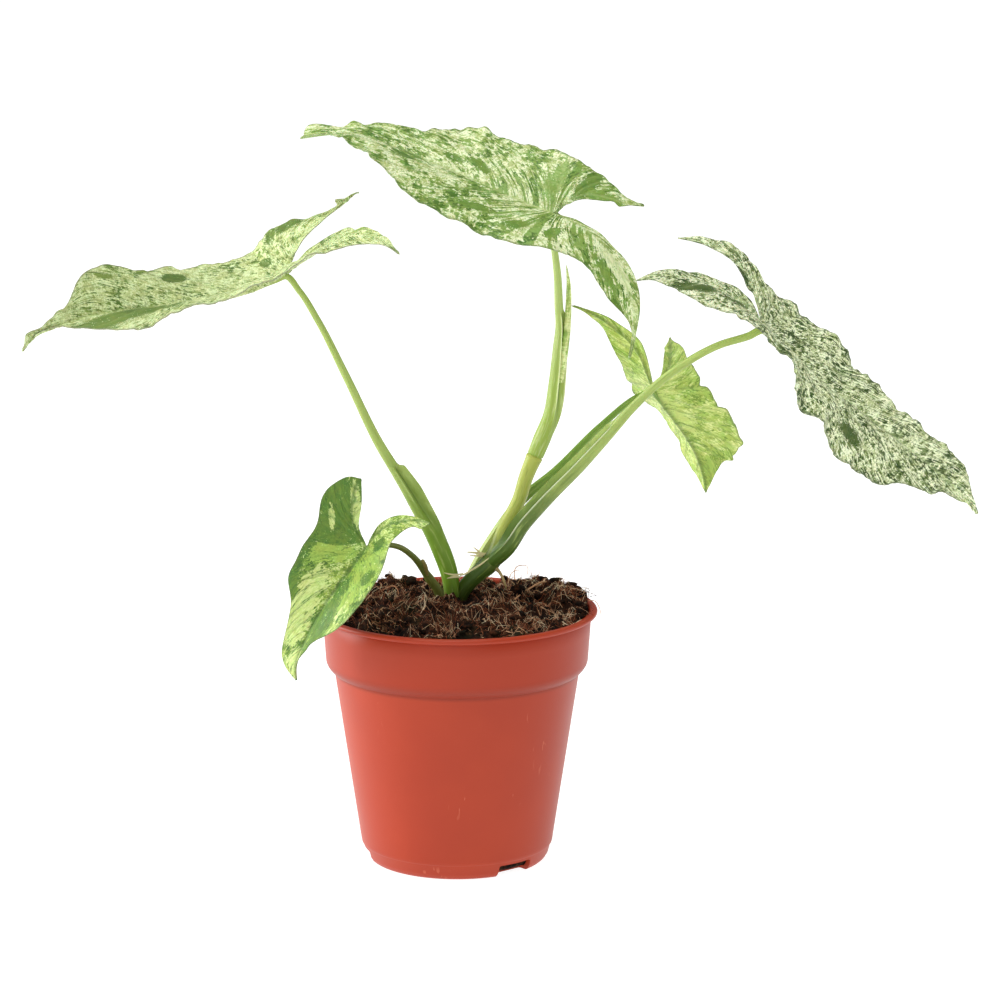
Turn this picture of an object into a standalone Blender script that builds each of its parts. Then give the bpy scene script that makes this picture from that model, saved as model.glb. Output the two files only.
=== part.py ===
"""Potted syngonium: a young arrowhead plant with five leaves in a 12 cm plastic nursery pot.

Sizes are in millimetres in the named values and become metres where meshes are made. The origin is
the middle of the pot's flat underside. +Z is up, -Y is the front of the plant, +X its right.
"""
import math
import random
from dataclasses import dataclass

import bmesh
import bpy
import numpy as np
from mathutils import Vector

MM = 0.001
GAP = 0.3

# Pot
POT_HEIGHT = 109.7
LIP_RADIUS = 60.0
COLLAR_TOP_RADIUS = 57.4
COLLAR_BOTTOM_RADIUS = 56.3
BODY_TOP_RADIUS = 51.9
BODY_BOTTOM_RADIUS = 41.2
FOOT_RADIUS = 37.4
STEP_HEIGHT = 79.6
WALL = 1.2
FLOOR = 1.5
POT_STEPS = 48
DRAIN_COUNT = 3
DRAIN_FIRST_ANGLE = -51.0
DRAIN_WIDTH = 17.0
DRAIN_HEIGHT = 2.6
DRAIN_INNER_RADIUS = 33.0
DRAIN_OUTER_RADIUS = 46.0
# The rolled lip from inside to outside, and the edge under the foot line: (radius, height) steps
# from the lip's radius and the top, and from the body's bottom radius and the underside
LIP_ROLL = ((-3.3, -0.6), (-2.3, 0.0), (-1.0, 0.0), (-0.3, -0.4), (0.0, -1.2), (-0.1, -2.4),
            (-0.8, -3.1))
LIP_DEPTH = 3.5
FOOT_ROLL = ((-0.2, 5.0), (-0.6, 4.6), (-1.5, 1.6), (-2.4, 0.5))
COLLAR_SHOULDER = 6.0
COLLAR_SHOULDER_TURNS = (25.0, 50.0, 72.0)
STEP_LINE = ((-0.3, -3.2), (-0.6, -3.5))

# Growing medium
SOIL_STEPS = 36
SOIL_EDGE_HEIGHT = 107.4
SOIL_BACKWARD_FALL = 0.026
SOIL_MOUND = (1.0, 4.0)
SOIL_MOUND_HEIGHT = 6.2
SOIL_MOUND_RADIUS = 24.0
SOIL_SIDE_MOUND = (36.0, 20.0)
SOIL_SIDE_MOUND_HEIGHT = 2.6
SOIL_SIDE_MOUND_RADIUS = 14.0
SOIL_ROUGHNESS = 0.55
SOIL_WAVES = (0.31, 0.37)
SOIL_WAVE_SWAYS = ((1.7, 0.13), (1.3, 0.17))
SOIL_TOP_RADII = (6.0, 12.0, 18.0, 24.0, 30.0, 36.0, 42.0, 48.0, 52.5)
LUMP_COUNT = 7
LUMP_RADII = (3.2, 5.0)
LUMP_VARIATION = (0.82, 1.12)
LUMP_FLATNESS = 0.6
LUMP_LIMIT = 44.0
BIG_LUMP = (-22.0, 21.0, 5.5)
FIBRE_COUNT = 12
FIBRE_RADIUS = 0.45
FIBRE_LIMIT = 42.0
FIBRE_HALF_LENGTHS = (4.0, 7.5)
FIBRE_LIFTS = (1.0, 2.4)
FIBRE_STATIONS = (-1.0, -0.5, 0.0, 0.5, 1.0)
FIBRE_BEND = 0.25
FIBRE_FALL = 1.9
STEM_CLEAR_SPOT = (2.0, 2.0)
STEM_CLEAR_RADIUS = 15.0
SOIL_SEED = 7

# Leaves
BLADE = 0.75
RIB = 1.4
RIB_TIP = 0.8
FRONT_STATIONS = (0.92, 0.78, 0.62, 0.45, 0.27, 0.07)
LOBE_STATIONS = (0.33, 0.66, 0.9)
SINUS_STATIONS = (0.3, 0.68)
VEIN_SHARE = 0.45
VEIN_BLEND = 0.7
CURL_WIDTH = 0.36
RUFFLE_MIX = (0.65, 0.35)
RUFFLE_RATIOS = (1.0, 1.7)
RUFFLE_PHASES = (1.0, 2.3)
LOBE_RUFFLE = 0.6
ACROSS = (0.3, 0.66, 1.0)
LOBE_ACROSS = (0.5, 1.0)
LARGE_ROWS = (21, 10)
SMALL_ROWS = (17, 8)
PETIOLE_REACH = 2.6
END_CLEARANCE = 0.6

# Stems
ROUND_SIDES_RESOLUTION = 2
END_RISE = 0.35
FLAT_END_RISE = 0.05
END_SHARE = 0.7
SHEATH_SIDES = 12
SHEATH_PROFILE = (-0.16, 0.30, 0.12, 0.0, 0.0, 0.0, 0.0)
SHEATH_RISE_SHARE = 0.35
SHEATH_SPACING = 4.5
STEM_HOLE_GAP = 0.35


@dataclass(frozen=True)
class Half:
    """One half of a blade: flat half-widths from the tip back, then how it bends out of flat."""

    widths: tuple
    lobe_widths: tuple
    lobe_tip: tuple
    sinus: tuple
    fold: float
    curl: float
    droop: float
    lobe_curl: float


@dataclass(frozen=True)
class Leaf:
    """An arrow-shaped blade. heading, rise and roll are degrees at the sinus, then their change
    in proportion to the distance towards the tip and to its square."""

    sinus: tuple
    length: float
    heading: tuple
    rise: tuple
    roll: tuple
    ruffle: float
    waves: float
    phase: float
    rows: tuple
    left: Half
    right: Half


LEAVES = {
    "leaf_top": Leaf(
        sinus=(40.2, 5.0, 278.2), length=114, heading=(165, -13, 29), rise=(19, 24, -49),
        roll=(-20, 25, 8), ruffle=1.2, waves=6.0, phase=0.15, rows=LARGE_ROWS,
        left=Half(widths=(8, 20, 30, 35, 33, 29), lobe_widths=(19, 26, 27), lobe_tip=(55, 38),
                  sinus=(15, 16), fold=8, curl=0.34, droop=0.56, lobe_curl=-0.45),
        right=Half(widths=(12, 16, 18, 32, 32, 34), lobe_widths=(31, 29, 31), lobe_tip=(31, 33),
                   sinus=(-4, 0), fold=20, curl=0.06, droop=0.89, lobe_curl=-0.14)),
    "leaf_left": Leaf(
        sinus=(-71.4, -5.0, 254.7), length=126, heading=(196, 2, 39), rise=(-30, 115, -116),
        roll=(-9, -5, -67), ruffle=1.1, waves=6.0, phase=0.55, rows=LARGE_ROWS,
        left=Half(widths=(2, 6, 25, 26, 30, 32), lobe_widths=(25, 30, 37), lobe_tip=(40, 46),
                  sinus=(25, 14), fold=40, curl=0.42, droop=0.05, lobe_curl=-1.0),
        right=Half(widths=(2, 6, 21, 20, 22, 24), lobe_widths=(37, 32, 37), lobe_tip=(51, 50),
                   sinus=(1, 5), fold=22, curl=0.21, droop=-0.13, lobe_curl=-0.82)),
    "leaf_right": Leaf(
        sinus=(126.2, -35.0, 236.7), length=121, heading=(0, -33, -27), rise=(-47, 39, -24),
        roll=(15, -13, 39), ruffle=1.5, waves=6.5, phase=0.3, rows=LARGE_ROWS,
        left=Half(widths=(4, 11, 12, 16, 25, 32), lobe_widths=(32, 35, 32), lobe_tip=(47, 29),
                  sinus=(-7, -9), fold=8, curl=0.0, droop=1.15, lobe_curl=0.58),
        right=Half(widths=(2, 19, 39, 39, 40, 25), lobe_widths=(30, 29, 26), lobe_tip=(53, 30),
                   sinus=(17, 14), fold=28, curl=0.39, droop=0.69, lobe_curl=-0.65)),
    "leaf_rear": Leaf(
        sinus=(85.1, 38.0, 197.9), length=71, heading=(56, -23, 34), rise=(-46, 31, -58),
        roll=(16, 22, -14), ruffle=0.8, waves=5.0, phase=0.75, rows=SMALL_ROWS,
        left=Half(widths=(5.5, 12, 14.5, 17.5, 21.5, 18.5), lobe_widths=(13.5, 17, 23.5),
                  lobe_tip=(44, 28), sinus=(11.5, 6.5), fold=10, curl=0.24, droop=-0.73,
                  lobe_curl=-0.99),
        right=Half(widths=(2.5, 9, 20, 22, 21.5, 19.5), lobe_widths=(19.5, 21, 21.5),
                   lobe_tip=(34, 22.5), sinus=(-1, 0.5), fold=35, curl=-0.15, droop=0.47,
                   lobe_curl=0.1)),
    "leaf_low": Leaf(
        sinus=(-37.3, -42.0, 145.6), length=65, heading=(201, -27, -17), rise=(-54, 22, -57),
        roll=(-43, -12, 12), ruffle=0.5, waves=4.0, phase=0.05, rows=SMALL_ROWS,
        left=Half(widths=(3, 8, 15, 20.5, 20, 16.5), lobe_widths=(11.5, 13.5, 19),
                  lobe_tip=(22, 22.5), sinus=(8, 6.5), fold=31, curl=0.14, droop=0.45,
                  lobe_curl=-0.29),
        right=Half(widths=(5.5, 9, 10.5, 17, 20, 21), lobe_widths=(24.5, 23.5, 20.5),
                   lobe_tip=(19.5, 19.5), sinus=(-1.5, 3.5), fold=20, curl=-0.13, droop=-0.27,
                   lobe_curl=0.28)),
}

# Stems and petioles: (x, y, z, radius) at points chosen along each, from the soil up
MAIN_STEM = ((2.0, 8.0, 104.0, 2.8), (4.0, 8.0, 115.5, 3.2), (11.5, 8.0, 126.0, 3.3),
             (20.5, 8.0, 143.0, 3.0), (26.5, 8.0, 155.0, 3.0), (29.5, 8.0, 165.0, 3.1),
             (33.0, 8.0, 173.6, 3.5))
AERIAL_ROOT = ((12.0, 8.0, 125.0, 1.2), (16.5, 7.0, 122.6, 1.1), (20.5, 6.0, 120.0, 1.0),
               (22.0, 5.5, 115.0, 0.9), (21.5, 5.5, 109.0, 0.6))
SCALES = (((13.0, 7.5, 130.0, 1.4), (8.5, 5.0, 131.8, 1.0), (4.0, 3.5, 132.6, 0.4)),
          ((8.0, 7.5, 121.0, 1.2), (3.5, 2.0, 121.6, 0.9), (-3.5, -2.0, 120.6, 0.4)))
PETIOLE_LOW = ((-8.0, -4.0, 104.0, 1.6), (-8.0, -4.0, 117.5, 1.9), (-11.5, -7.0, 123.5, 1.7),
               (-19.0, -19.0, 136.5, 1.3), (-24.5, -27.0, 142.0, 1.2), (-31.0, -34.5, 144.4, 1.1))
PETIOLE_REAR = ((8.2, 12.8, 126.0, 1.8), (14.0, 13.6, 136.0, 2.1), (26.0, 13.8, 153.5, 2.1),
                (40.0, 16.0, 165.5, 1.9), (61.5, 23.0, 184.5, 1.5), (79.0, 33.0, 195.5, 1.3))
PETIOLE_TOP = ((33.3, 8.0, 174.3, 3.5), (36.0, 8.0, 181.0, 3.7), (40.0, 8.0, 191.0, 3.5),
               (42.0, 8.0, 204.5, 3.2), (43.5, 8.0, 219.5, 2.7), (44.2, 8.0, 230.5, 1.9),
               (43.5, 7.0, 238.0, 1.6), (43.0, 6.0, 250.5, 1.4), (40.8, 5.2, 266.0, 1.2))
PETIOLE_LEFT = ((-1.5, 4.0, 104.0, 2.6), (-2.5, 4.0, 114.5, 3.0), (-3.5, 4.0, 123.0, 3.2),
                (-11.5, 3.0, 142.5, 3.1), (-21.0, 1.0, 162.5, 2.3), (-29.0, 0.0, 178.0, 1.9),
                (-45.0, -3.0, 210.5, 1.5), (-58.5, -4.0, 235.0, 1.4), (-66.0, -5.0, 246.8, 1.3))
PETIOLE_RIGHT = ((14.0, 2.3, 125.5, 2.6), (20.0, 1.2, 133.0, 3.1), (35.0, -0.5, 155.5, 3.0),
                 (50.0, -3.0, 173.0, 2.7), (62.5, -9.0, 188.5, 2.0), (72.5, -14.0, 200.5, 1.7),
                 (92.5, -24.0, 220.0, 1.6), (108.5, -31.0, 230.0, 1.5), (120.0, -34.4, 233.6, 1.6))
NEW_LEAF = ((46.4, 8.0, 237.4, 1.1), (46.8, 8.0, 242.0, 1.2), (47.0, 8.0, 247.0, 0.8),
            (46.2, 8.0, 255.0, 0.3))


@dataclass(frozen=True)
class Sheath:
    """Where a petiole's base is a channel with two lips: its open side and its heights, and how
    far its bottom end bulges as a share of its radius."""

    side: tuple
    bottom: float
    top: float
    run_out: float
    end_rise: float = END_RISE


SHEATHS = {
    "petiole_top": Sheath(side=(1.0, 0.0, 0.0), bottom=180.0, top=235.5, run_out=1.2,
                          end_rise=FLAT_END_RISE),
    "petiole_left": Sheath(side=(1.0, 0.0, 0.4), bottom=138.0, top=170.0, run_out=2.0),
    "petiole_right": Sheath(side=(-0.6, 0.0, 0.8), bottom=136.0, top=193.5, run_out=1.5),
}

COLOURS = {
    "pot": (0.50, 0.085, 0.035, 0.45),
    "growing_medium": (0.035, 0.018, 0.011, 0.95),
    "main_stem": (0.16, 0.27, 0.05, 0.5),
    "petiole_top": (0.24, 0.38, 0.09, 0.45),
    "petiole_left": (0.15, 0.27, 0.06, 0.45),
    "petiole_right": (0.20, 0.33, 0.08, 0.45),
    "petiole_rear": (0.13, 0.24, 0.05, 0.45),
    "petiole_low": (0.10, 0.19, 0.04, 0.45),
    "new_leaf": (0.45, 0.52, 0.22, 0.5),
    "leaf_top": (0.42, 0.52, 0.28, 0.45),
    "leaf_left": (0.42, 0.50, 0.22, 0.45),
    "leaf_right": (0.30, 0.38, 0.21, 0.45),
    "leaf_rear": (0.33, 0.48, 0.13, 0.5),
    "leaf_low": (0.28, 0.42, 0.08, 0.45),
}


def clear_scene():
    """Remove every object of the open file."""
    for obj in list(bpy.data.objects):
        bpy.data.objects.remove(obj, do_unlink=True)


def new_collection(name):
    """Return a new collection linked to the scene."""
    collection = bpy.data.collections.new(name)
    bpy.context.scene.collection.children.link(collection)
    return collection


def new_material(name, colour):
    """Return a Principled material from red, green, blue and roughness."""
    material = bpy.data.materials.new(name)
    material.use_nodes = True
    shader = material.node_tree.nodes["Principled BSDF"]
    shader.inputs["Base Color"].default_value = (*colour[:3], 1.0)
    shader.inputs["Roughness"].default_value = colour[3]
    shader.inputs["Metallic"].default_value = 0.0
    return material


def add_object(name, data, collection):
    """Link a new object with this mesh or curve to the collection."""
    obj = bpy.data.objects.new(name, data)
    collection.objects.link(obj)
    return obj


def mesh_of(obj, name):
    """Return the evaluated mesh of an object, in metres and with its doubles welded."""
    depsgraph = bpy.context.evaluated_depsgraph_get()
    mesh = bpy.data.meshes.new_from_object(obj.evaluated_get(depsgraph))
    mesh.name = name
    mesh.transform(obj.matrix_world)
    work = bmesh.new()
    work.from_mesh(mesh)
    bmesh.ops.remove_doubles(work, verts=work.verts, dist=0.01 * MM)
    work.to_mesh(mesh)
    work.free()
    return mesh


def bake(obj):
    """Apply an object's modifiers."""
    mesh = mesh_of(obj, obj.name)
    obj.modifiers.clear()
    obj.data = mesh


def boolean(target, operation, operands):
    """Join or cut the target with every object of a collection, then remove them."""
    modifier = target.modifiers.new(operation.title(), "BOOLEAN")
    modifier.operation = operation
    modifier.solver = "EXACT"
    modifier.operand_type = "COLLECTION"
    modifier.collection = operands
    bake(target)
    for obj in list(operands.objects):
        bpy.data.objects.remove(obj, do_unlink=True)
    bpy.data.collections.remove(operands)


def finish(obj, name, sharp_degrees):
    """Give an object its own material and smooth shading."""
    obj.data.materials.clear()
    obj.data.materials.append(new_material(name, COLOURS[name]))
    obj.data.shade_smooth()
    obj.data.set_sharp_from_angle(angle=math.radians(sharp_degrees))


def smooth_path(points, spacing):
    """Points every so many millimetres on a smooth curve through the given points."""
    points = np.asarray(points, float)
    knots = chord_lengths(points[:, :3])
    return spline(points, knots, np.linspace(0.0, knots[-1], max(4, round(knots[-1] / spacing))))


def chord_lengths(points):
    """Running length along a row of points."""
    return np.concatenate(([0.0], np.cumsum(np.linalg.norm(np.diff(points, axis=0), axis=1))))


def spline(points, knots, at):
    """Values of a cubic curve through the points, at the given knot values."""
    steps = np.diff(knots)[:, None]
    slopes = np.diff(points, axis=0) / steps
    tangents = np.empty_like(points)
    tangents[1:-1] = (slopes[:-1] * steps[1:] + slopes[1:] * steps[:-1]) / (steps[1:] + steps[:-1])
    tangents[0] = 1.5 * slopes[0] - 0.5 * tangents[1]
    tangents[-1] = 1.5 * slopes[-1] - 0.5 * tangents[-2]
    span = np.clip(np.searchsorted(knots, at, side="right") - 1, 0, len(points) - 2)
    step = steps[span]
    x = (np.asarray(at) - knots[span])[:, None] / step
    start = (2 * x**3 - 3 * x**2 + 1) * points[span] + (x**3 - 2 * x**2 + x) * step * tangents[span]
    end = (3 * x**2 - 2 * x**3) * points[span + 1] + (x**3 - x**2) * step * tangents[span + 1]
    return start + end


def tube(name, points, collection, spacing=4.0, extra=0.0, resolution=ROUND_SIDES_RESOLUTION,
         end_rise=END_RISE):
    """Return a mesh object: a round tube whose radius follows the points, with rounded ends. Its
    last end bulges by end_rise times its radius."""
    path = smooth_path(points, spacing)
    centres = [Vector(p[:3]) for p in path]
    radii = [p[3] + extra for p in path]
    for end, inner, rise in ((0, 1, END_RISE), (-1, -2, end_rise)):
        outward = (centres[end] - centres[inner]).normalized()
        place = 0 if end == 0 else len(centres)
        centres.insert(place, centres[end] + outward * radii[end] * rise)
        radii.insert(place, radii[end] * END_SHARE)
    curve = bpy.data.curves.new(name, "CURVE")
    curve.dimensions = "3D"
    curve.bevel_depth = MM
    curve.bevel_resolution = resolution
    curve.use_fill_caps = True
    poly = curve.splines.new("POLY")
    poly.points.add(len(centres) - 1)
    for point, centre, radius in zip(poly.points, centres, radii):
        point.co = (*(centre * MM), 1.0)
        point.radius = radius
    guide = add_object(name + "_curve", curve, collection)
    obj = add_object(name, mesh_of(guide, name), collection)
    bpy.data.objects.remove(guide, do_unlink=True)
    return obj


def mesh_object(name, vertices, faces, collection):
    """Return an object from millimetre vertices and faces."""
    mesh = bpy.data.meshes.new(name)
    mesh.from_pydata([tuple(float(c) * MM for c in v) for v in vertices], [], faces)
    mesh.update()
    return add_object(name, mesh, collection)


def sheathed_petiole(name, points, collection):
    """Return a petiole lofted from a channel with two lips into a round stalk."""
    sheath = SHEATHS[name]
    path = smooth_path(points, SHEATH_SPACING)
    step_rows = [p for p in smooth_path(points, 0.5)
                 if sheath.top - sheath.run_out <= p[2] <= sheath.top + sheath.run_out]
    step_rows = [step_rows[0], step_rows[-1]]
    keep = [p for p in path if abs(p[2] - sheath.top) > 2.0 * sheath.run_out]
    rows = np.array(sorted(keep + step_rows, key=lambda p: p[2]))
    centres = rows[:, :3]
    along = np.gradient(centres, axis=0)
    along /= np.linalg.norm(along, axis=1)[:, None]
    vertices = []
    for centre, direction, row in zip(centres, along, rows):
        side = np.array(sheath.side) - direction * np.dot(sheath.side, direction)
        side /= np.linalg.norm(side)
        across = np.cross(direction, side)
        rise = (row[2] - sheath.bottom) / (SHEATH_RISE_SHARE * (sheath.top - sheath.bottom))
        strength = np.clip(rise, 0.0, 1.0) if row[2] < sheath.top else 0.0
        for i in range(SHEATH_SIDES):
            angle = 2.0 * math.pi * i / SHEATH_SIDES
            radius = row[3] * (1.0 + strength * SHEATH_PROFILE[min(i, SHEATH_SIDES - i)])
            vertices.append(centre + (side * math.cos(angle) + across * math.sin(angle)) * radius)
    count = len(rows)
    faces = []
    for j in range(count - 1):
        for i in range(SHEATH_SIDES):
            a, b = j * SHEATH_SIDES + i, j * SHEATH_SIDES + (i + 1) % SHEATH_SIDES
            faces.append((a, b, b + SHEATH_SIDES, a + SHEATH_SIDES))
    for row, outward, rise in ((0, -1.0, sheath.end_rise), (count - 1, 1.0, END_RISE)):
        pole = len(vertices)
        vertices.append(centres[row] + along[row] * outward * rows[row, 3] * rise)
        for i in range(SHEATH_SIDES):
            a, b = row * SHEATH_SIDES + i, row * SHEATH_SIDES + (i + 1) % SHEATH_SIDES
            faces.append((b, a, pole) if outward < 0.0 else (a, b, pole))
    return mesh_object(name, vertices, faces, collection)


def leaf_frame(leaf, along):
    """Midrib points, and directions along, across and out of the blade, at distances along it."""
    samples = np.linspace(0.0, 1.0, 81)
    heading, rise, _ = leaf_angles(leaf, samples)
    tangent = direction(heading, rise)
    steps = (tangent[1:] + tangent[:-1]) * 0.5 * leaf.length / (len(samples) - 1)
    midrib = np.concatenate((np.zeros((1, 3)), np.cumsum(steps, axis=0)))
    x = np.clip(along / leaf.length, 0.0, 1.0)
    point = np.stack([np.interp(x, samples, midrib[:, k]) for k in range(3)], axis=-1)
    heading, rise, roll = leaf_angles(leaf, x)
    tangent = direction(heading, rise)
    point = point + tangent * np.minimum(along, 0.0)[..., None]
    level = np.stack([-np.sin(heading), np.cos(heading), np.zeros_like(heading)], axis=-1)
    upward = np.cross(tangent, level)
    across = np.cos(roll)[..., None] * level + np.sin(roll)[..., None] * upward
    return point + np.array(leaf.sinus), tangent, across, np.cross(tangent, across)


def leaf_angles(leaf, x):
    """Heading, rise and roll in radians at fractions of the length."""
    return [np.radians(a + b * x + c * x * x) for a, b, c in (leaf.heading, leaf.rise, leaf.roll)]


def direction(heading, rise):
    """Unit vectors from a heading in plan and a rise above level."""
    flat = np.cos(rise)
    return np.stack([flat * np.cos(heading), flat * np.sin(heading), np.sin(rise)], axis=-1)


def half_outline(leaf, half, side):
    """Flat curves of one half: the vein line, the outer margin and the lobe's inner margin."""
    front, back = leaf.rows
    reach, spread = half.lobe_tip
    outer = [(leaf.length, 0.0)]
    outer += [(leaf.length * f, side * w) for f, w in zip(FRONT_STATIONS, half.widths)]
    outer += [(-reach * f, side * w) for f, w in zip(LOBE_STATIONS, half.lobe_widths)]
    outer = np.array(outer + [(-reach, side * spread)])
    knots = spline_knots(outer)
    turn = knots[len(FRONT_STATIONS)]
    rows = np.concatenate((np.linspace(0.0, turn, front), np.linspace(turn, knots[-1], back)[1:]))
    margin = spline(outer, knots, rows)
    lobe = np.array((-reach, side * spread))
    inward = np.array((-lobe[1], lobe[0])) / np.linalg.norm(lobe)
    inward *= -side * np.sign(inward[1])
    inner = [(0.0, 0.0)]
    inner += [lobe * share + inward * bulge for share, bulge in zip(SINUS_STATIONS, half.sinus)]
    inner = np.array(inner + [lobe])
    inner_knots = spline_knots(inner)
    edge = spline(inner, inner_knots, np.linspace(0.0, inner_knots[-1], back))
    blend = np.linspace(0.0, 1.0, back)[:, None]
    blend = VEIN_SHARE * (blend * blend * (3.0 - 2.0 * blend)) ** VEIN_BLEND
    vein = edge + blend * (margin[front - 1:] - edge)
    midrib = np.stack([np.linspace(leaf.length, 0.0, front), np.zeros(front)], axis=-1)
    return np.concatenate((midrib, vein[1:])), margin, edge


def spline_knots(points):
    """Knots spaced by the square root of each chord, which keeps tight turns from looping."""
    return np.concatenate(([0.0], np.cumsum(np.linalg.norm(np.diff(points, axis=0), axis=1) ** 0.5)))


def leaf_surface(leaf, half, flat, outward, row):
    """Place flat points of a half in space: folded, curled, drooping and ruffled."""
    point, _, across, normal = leaf_frame(leaf, flat[..., 0])
    side = np.abs(flat[..., 1])
    back = np.clip(-flat[..., 0] / leaf.length, 0.0, None)
    height = math.sin(math.radians(half.fold)) * side
    height = height - half.curl * side * side / (CURL_WIDTH * leaf.length)
    height = height - half.droop * back * back * leaf.length + half.lobe_curl * back * side
    ruffle = leaf.ruffle * outward**2 * np.sqrt(np.sin(math.pi * row))
    for share, ratio, start in zip(RUFFLE_MIX, RUFFLE_RATIOS, RUFFLE_PHASES):
        turns = ratio * leaf.waves * row + start * leaf.phase
        height = height + share * ruffle * np.sin(2.0 * math.pi * turns)
    sideways = flat[..., 1] * math.cos(math.radians(half.fold))
    return point + across * sideways[..., None] + normal * height[..., None]


def build_leaf(name, leaf, collection):
    """Return a blade: a triangulated open surface made solid on its underside."""
    front, back = leaf.rows
    total = front + back - 1
    vertices, weights, faces, midrib = [], [], [], []

    def add(flat, half, outward, row, thickness):
        place = leaf_surface(leaf, half, np.asarray(flat), np.asarray(outward), np.asarray(row))
        vertices.append(place)
        weights.append(thickness / RIB)
        return len(vertices) - 1

    def strip(first, second, flip):
        for i in range(len(first) - 1):
            for triangle in ((first[i], first[i + 1], second[i + 1]),
                             (first[i], second[i + 1], second[i])):
                if len(set(triangle)) == 3:
                    faces.append(triangle[::-1] if flip else triangle)

    for half, side in ((leaf.left, 1.0), (leaf.right, -1.0)):
        vein, margin, edge = half_outline(leaf, half, side)
        rows = np.linspace(0.0, 1.0, total)
        ribs = []
        for i in range(total):
            if i < front and midrib and side < 0.0:
                ribs.append(midrib[i])
                continue
            share = i / (front - 1) if i < front else (total - 1 - i) / (total - front)
            ribs.append(add(vein[i], half, 0.0, rows[i], RIB_TIP + (RIB - RIB_TIP) * share))
        midrib = midrib or ribs[:front]
        columns = [ribs]
        for a in ACROSS:
            column = [ribs[0]]
            for i in range(1, total - 1):
                column.append(add(vein[i] + a * (margin[i] - vein[i]), half, a, rows[i], BLADE))
            columns.append(column + [ribs[-1]])
        for first, second in zip(columns, columns[1:]):
            strip(first, second, side > 0.0)
        lobe_rows = rows[front - 1:]
        columns = [ribs[front - 1:]]
        for a in LOBE_ACROSS:
            column = [ribs[front - 1]]
            for i in range(1, back - 1):
                flat = vein[front - 1 + i] + a * (edge[i] - vein[front - 1 + i])
                column.append(add(flat, half, LOBE_RUFFLE * a, lobe_rows[i], BLADE))
            columns.append(column + [ribs[-1]])
        for first, second in zip(columns, columns[1:]):
            strip(first, second, side < 0.0)
    obj = mesh_object(name, vertices, faces, collection)
    group = obj.vertex_groups.new(name="thickness")
    for index, weight in enumerate(weights):
        group.add([index], min(weight, 1.0), "REPLACE")
    solid = obj.modifiers.new("Solidify", "SOLIDIFY")
    solid.thickness = RIB * MM
    solid.offset = -1.0
    solid.vertex_group = group.name
    bake(obj)
    return obj


def petiole_end(leaf, radius):
    """Centre of a petiole's rounded end, just under the thick start of its leaf's midrib."""
    point, _, _, normal = leaf_frame(leaf, np.array(PETIOLE_REACH))
    return tuple(point - normal * (RIB + GAP + END_CLEARANCE * radius))


def with_end(points, leaf):
    """A petiole's points, ending under its leaf."""
    radius = points[-1][3]
    return points + ((*petiole_end(leaf, radius), radius),)


def screw(name, profile, steps, collection):
    """Return the turned mesh object of a profile of (radius, height) points."""
    mesh = bpy.data.meshes.new(name)
    mesh.from_pydata([(r * MM, 0.0, z * MM) for r, z in profile],
                     [(i, i + 1) for i in range(len(profile) - 1)], [])
    obj = add_object(name, mesh, collection)
    turn = obj.modifiers.new("Screw", "SCREW")
    turn.steps = turn.render_steps = steps
    turn.use_merge_vertices = True
    turn.merge_threshold = 0.01 * MM
    turn.use_smooth_shade = True
    bake(obj)
    return obj


def pot_inside(offset):
    """Inner wall from the floor up to the lip as (radius, height), moved in by offset."""
    collar_in = COLLAR_BOTTOM_RADIUS - WALL
    body_in = BODY_TOP_RADIUS - WALL
    points = [(FOOT_RADIUS - 0.9, FLOOR), (BODY_BOTTOM_RADIUS - WALL - 1.4, FLOOR + 1.3),
              (BODY_BOTTOM_RADIUS - WALL, FLOOR + 7.5), (body_in, STEP_HEIGHT - 0.2),
              (body_in + 1.5, STEP_HEIGHT + 1.0), (collar_in - 1.2, STEP_HEIGHT + 4.0),
              (collar_in, STEP_HEIGHT + 8.0), (COLLAR_TOP_RADIUS - WALL, POT_HEIGHT - 3.6)]
    return [(r - offset, z) for r, z in points]


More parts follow.
